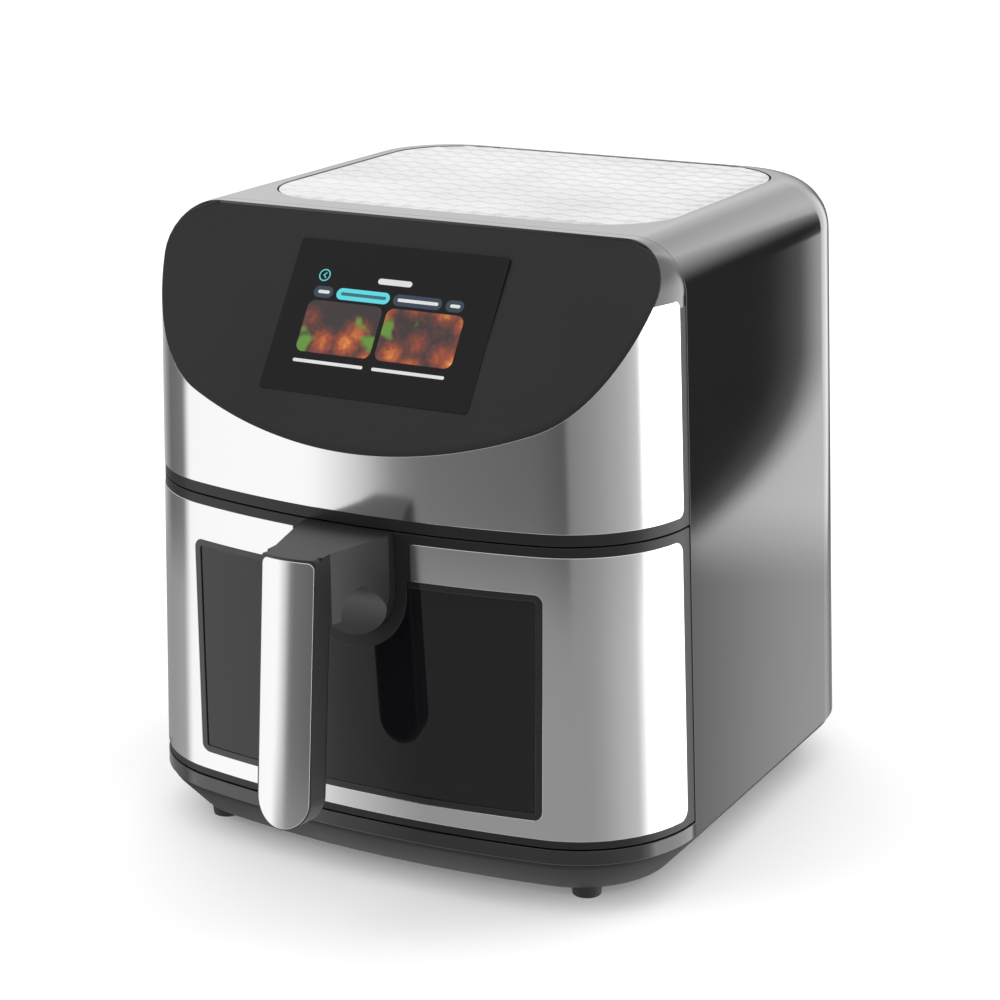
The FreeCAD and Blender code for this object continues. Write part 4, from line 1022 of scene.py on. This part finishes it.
def floor():
    """Plain pale floor that reflections don't see."""
    mesh = bpy.data.meshes.new("floor")
    corners = [(FLOOR_SIZE * i, FLOOR_SIZE * j, 0) for i, j in ((-1, -1), (1, -1), (1, 1), (-1, 1))]
    mesh.from_pydata(corners, [], [(0, 1, 2, 3)])
    obj = bpy.data.objects.new("floor", mesh)
    bpy.context.scene.collection.objects.link(obj)
    material, tree, shader = new_material("pale_floor")
    cloud = noise(tree, texture_place(tree), 3.0)
    tree.links.new(ramp(tree, cloud, [(0.3, 0.86), (0.7, 0.88)]), shader.inputs["Base Color"])
    shader.inputs["Emission Color"].default_value = (1, 1, 1, 1)
    shader.inputs["Emission Strength"].default_value = FLOOR_GLOW
    shader.inputs["Roughness"].default_value = 0.7
    shader.inputs["Specular IOR Level"].default_value = 0.1
    mesh.materials.append(material)
    obj.visible_glossy = False


# (azimuth, brightness) round the studio's wall at three heights; azimuth 0 is in front, 90 at the right
TENT_LOW = [(-180, 0.33), (-100, 0.34), (-78, 0.4), (-69, 1.1), (-40, 1.15), (-31, 0.62), (-20, 0.33),
            (40, 0.32), (50, 0.36), (65, 0.48), (80, 0.58), (88, 1.2), (94, 2.6), (140, 2.0), (150, 0.35),
            (153, 0.42), (156.5, 0.8), (158.5, 1.0), (163, 1.2), (178, 0.33)]
TENT_MIDDLE = [(-180, 0.17), (-160, 0.3), (-136, 0.75), (-112, 0.34), (-100, 0.16), (-77, 0.2), (-69, 1.1),
               (-36, 1.15), (-27, 0.72), (-20, 0.25), (-15, 0.18), (28, 0.1), (31, 0.24), (50, 0.32),
               (75, 0.48), (87, 0.64), (94, 2.6), (140, 3.0), (143, 0.03), (153.2, 0.03), (154, 1.9),
               (170, 1.9), (178, 0.17)]
TENT_HIGH = [(-180, 1.35), (-110, 1.3), (-90, 0.9), (-40, 0.8), (40, 0.8), (80, 1.2), (110, 1.7),
             (145, 1.2), (152, 1.5), (158, 2.2), (170, 1.6), (178, 1.35)]
TENT = (TENT_LOW, TENT_MIDDLE, TENT_HIGH)
# heights in metres between which one profile turns into the next
TENT_STEPS = ((-0.21, -0.12), (0.26, 0.7))
TENT_R, TENT_BOTTOM, TENT_TOP = 1.1, -1.2, 1.6
# below LEAN_TOP metres the wall's pattern beyond LEAN_FROM swings round, by LEAN degrees after LEAN_SPAN
LEAN_TOP, LEAN_SPAN, LEAN, LEAN_FROM = 0.023, 0.188, 6.2, (136.0, 144.0)


def arithmetic(tree, operation, *values, clamp=False):
    node = tree.nodes.new("ShaderNodeMath")
    node.operation = operation
    node.use_clamp = clamp
    for socket, value in zip(node.inputs, values):
        if isinstance(value, (int, float)):
            socket.default_value = value
        else:
            tree.links.new(value, socket)
    return node.outputs[0]


def between(tree, value, low, high):
    """0 below low, 1 above high, smooth between them."""
    node = tree.nodes.new("ShaderNodeMapRange")
    node.interpolation_type = "SMOOTHSTEP"
    node.inputs["From Min"].default_value = low
    node.inputs["From Max"].default_value = high
    tree.links.new(value, node.inputs["Value"])
    return node.outputs["Result"]


def tent_glow(tree):
    """Brightness of the tent from the azimuth and the height of a point on it."""
    coordinates = tree.nodes.new("ShaderNodeTexCoord")
    parts = tree.nodes.new("ShaderNodeSeparateXYZ")
    tree.links.new(coordinates.outputs["Object"], parts.inputs["Vector"])
    x, y, height = (parts.outputs[i] for i in range(3))
    angle = arithmetic(tree, "ARCTAN2", x, arithmetic(tree, "MULTIPLY", y, -1.0))
    azimuth = arithmetic(tree, "MULTIPLY", angle, 180 / math.pi)
    sunk = arithmetic(tree, "MULTIPLY_ADD", height, -1 / LEAN_SPAN, LEAN_TOP / LEAN_SPAN, clamp=True)
    lean = arithmetic(tree, "MULTIPLY", arithmetic(tree, "MULTIPLY", sunk, sunk), LEAN)
    shift = arithmetic(tree, "MULTIPLY", lean, between(tree, azimuth, *LEAN_FROM))
    swung = arithmetic(tree, "ADD", azimuth, shift)
    share = arithmetic(tree, "MULTIPLY_ADD", swung, 1 / 360, 0.5, clamp=True)
    brightest = max(level for profile in TENT for _, level in profile)
    colours = []
    for profile in TENT:
        colours.append(ramp(tree, share, [((a + 180) / 360, level / brightest) for a, level in profile]))
    mixed = colours[0]
    for colour, (low, high) in zip(colours[1:], TENT_STEPS):
        node = tree.nodes.new("ShaderNodeMix")
        node.data_type = "RGBA"
        tree.links.new(between(tree, height, low, high), node.inputs["Factor"])
        tree.links.new(mixed, node.inputs["A"])
        tree.links.new(colour, node.inputs["B"])
        mixed = node.outputs["Result"]
    glow = tree.nodes.new("ShaderNodeEmission")
    glow.inputs["Strength"].default_value = brightest
    tree.links.new(mixed, glow.inputs["Color"])
    return glow.outputs["Emission"]


def tent():
    """Round wall of soft panels that only mirror-like surfaces see."""
    count = 120
    points, faces = [], []
    for i in range(count):
        a = 2 * math.pi * i / count
        points += [(TENT_R * math.sin(a), -TENT_R * math.cos(a), z) for z in (TENT_BOTTOM, TENT_TOP)]
    for i in range(count):
        j = (i + 1) % count
        faces.append([2 * i, 2 * j, 2 * j + 1, 2 * i + 1])
    mesh = bpy.data.meshes.new("tent")
    mesh.from_pydata(points, [], faces)
    obj = bpy.data.objects.new("tent", mesh)
    bpy.context.scene.collection.objects.link(obj)
    material, tree, shader = new_material("tent")
    tree.nodes.remove(shader)
    output = next(n for n in tree.nodes if n.type == "OUTPUT_MATERIAL")
    tree.links.new(tent_glow(tree), output.inputs["Surface"])
    mesh.materials.append(material)
    obj.visible_camera = False
    obj.visible_diffuse = False
    obj.visible_shadow = False
    obj.visible_transmission = False


def soft_light(name, place, target, size, power):
    """Area light that reflections don't see."""
    data = bpy.data.lights.new(name, "AREA")
    data.shape = "RECTANGLE"
    data.size, data.size_y = size
    data.energy = power
    obj = bpy.data.objects.new(name, data)
    obj.location = place
    obj.rotation_euler = (Vector(target) - Vector(place)).to_track_quat("-Z", "Y").to_euler()
    obj.visible_glossy = False
    bpy.context.scene.collection.objects.link(obj)


def studio():
    """Even surround, two soft lights, the wall for reflections and the floor."""
    world = bpy.data.worlds.new("studio")
    world.use_nodes = True
    background = next(n for n in world.node_tree.nodes if n.type == "BACKGROUND")
    background.inputs["Color"].default_value = (1, 1, 1, 1)
    background.inputs["Strength"].default_value = SURROUND_GLOW
    bpy.context.scene.world = world
    soft_light("key", (-1.2, -1.0, 1.8), (0, 0, 0.15), (1.2, 1.2), 8)
    soft_light("back", (0.9, 1.2, 1.6), (0, 0, 0.2), (1.2, 1.2), 8)
    tent()
    floor()
    bpy.context.scene.view_settings.view_transform = "Standard"


# ---------------------------------------------------------------- build
paint_cad_nodes()
outer_housing()
cord_inlet()
base_skirt()
top_inlay()
upper_carrier()
upper_steel()
arch_trim()
control_panel()
display_glass()
screen_pieces()
drawer_shell()
drawer_plate("drawer_ledge", DRAWER_TOP, 3.0, beside_pan)
drawer_plate("drawer_floor", DRAWER_BOTTOM + 3.4, 3.0, below_pan)
lower_steel()
window_border()
window_pane()
handle_face()
soften("handle_body", 0.6)
soften("handle_grip_cover", 0.6)
studio()
camera()
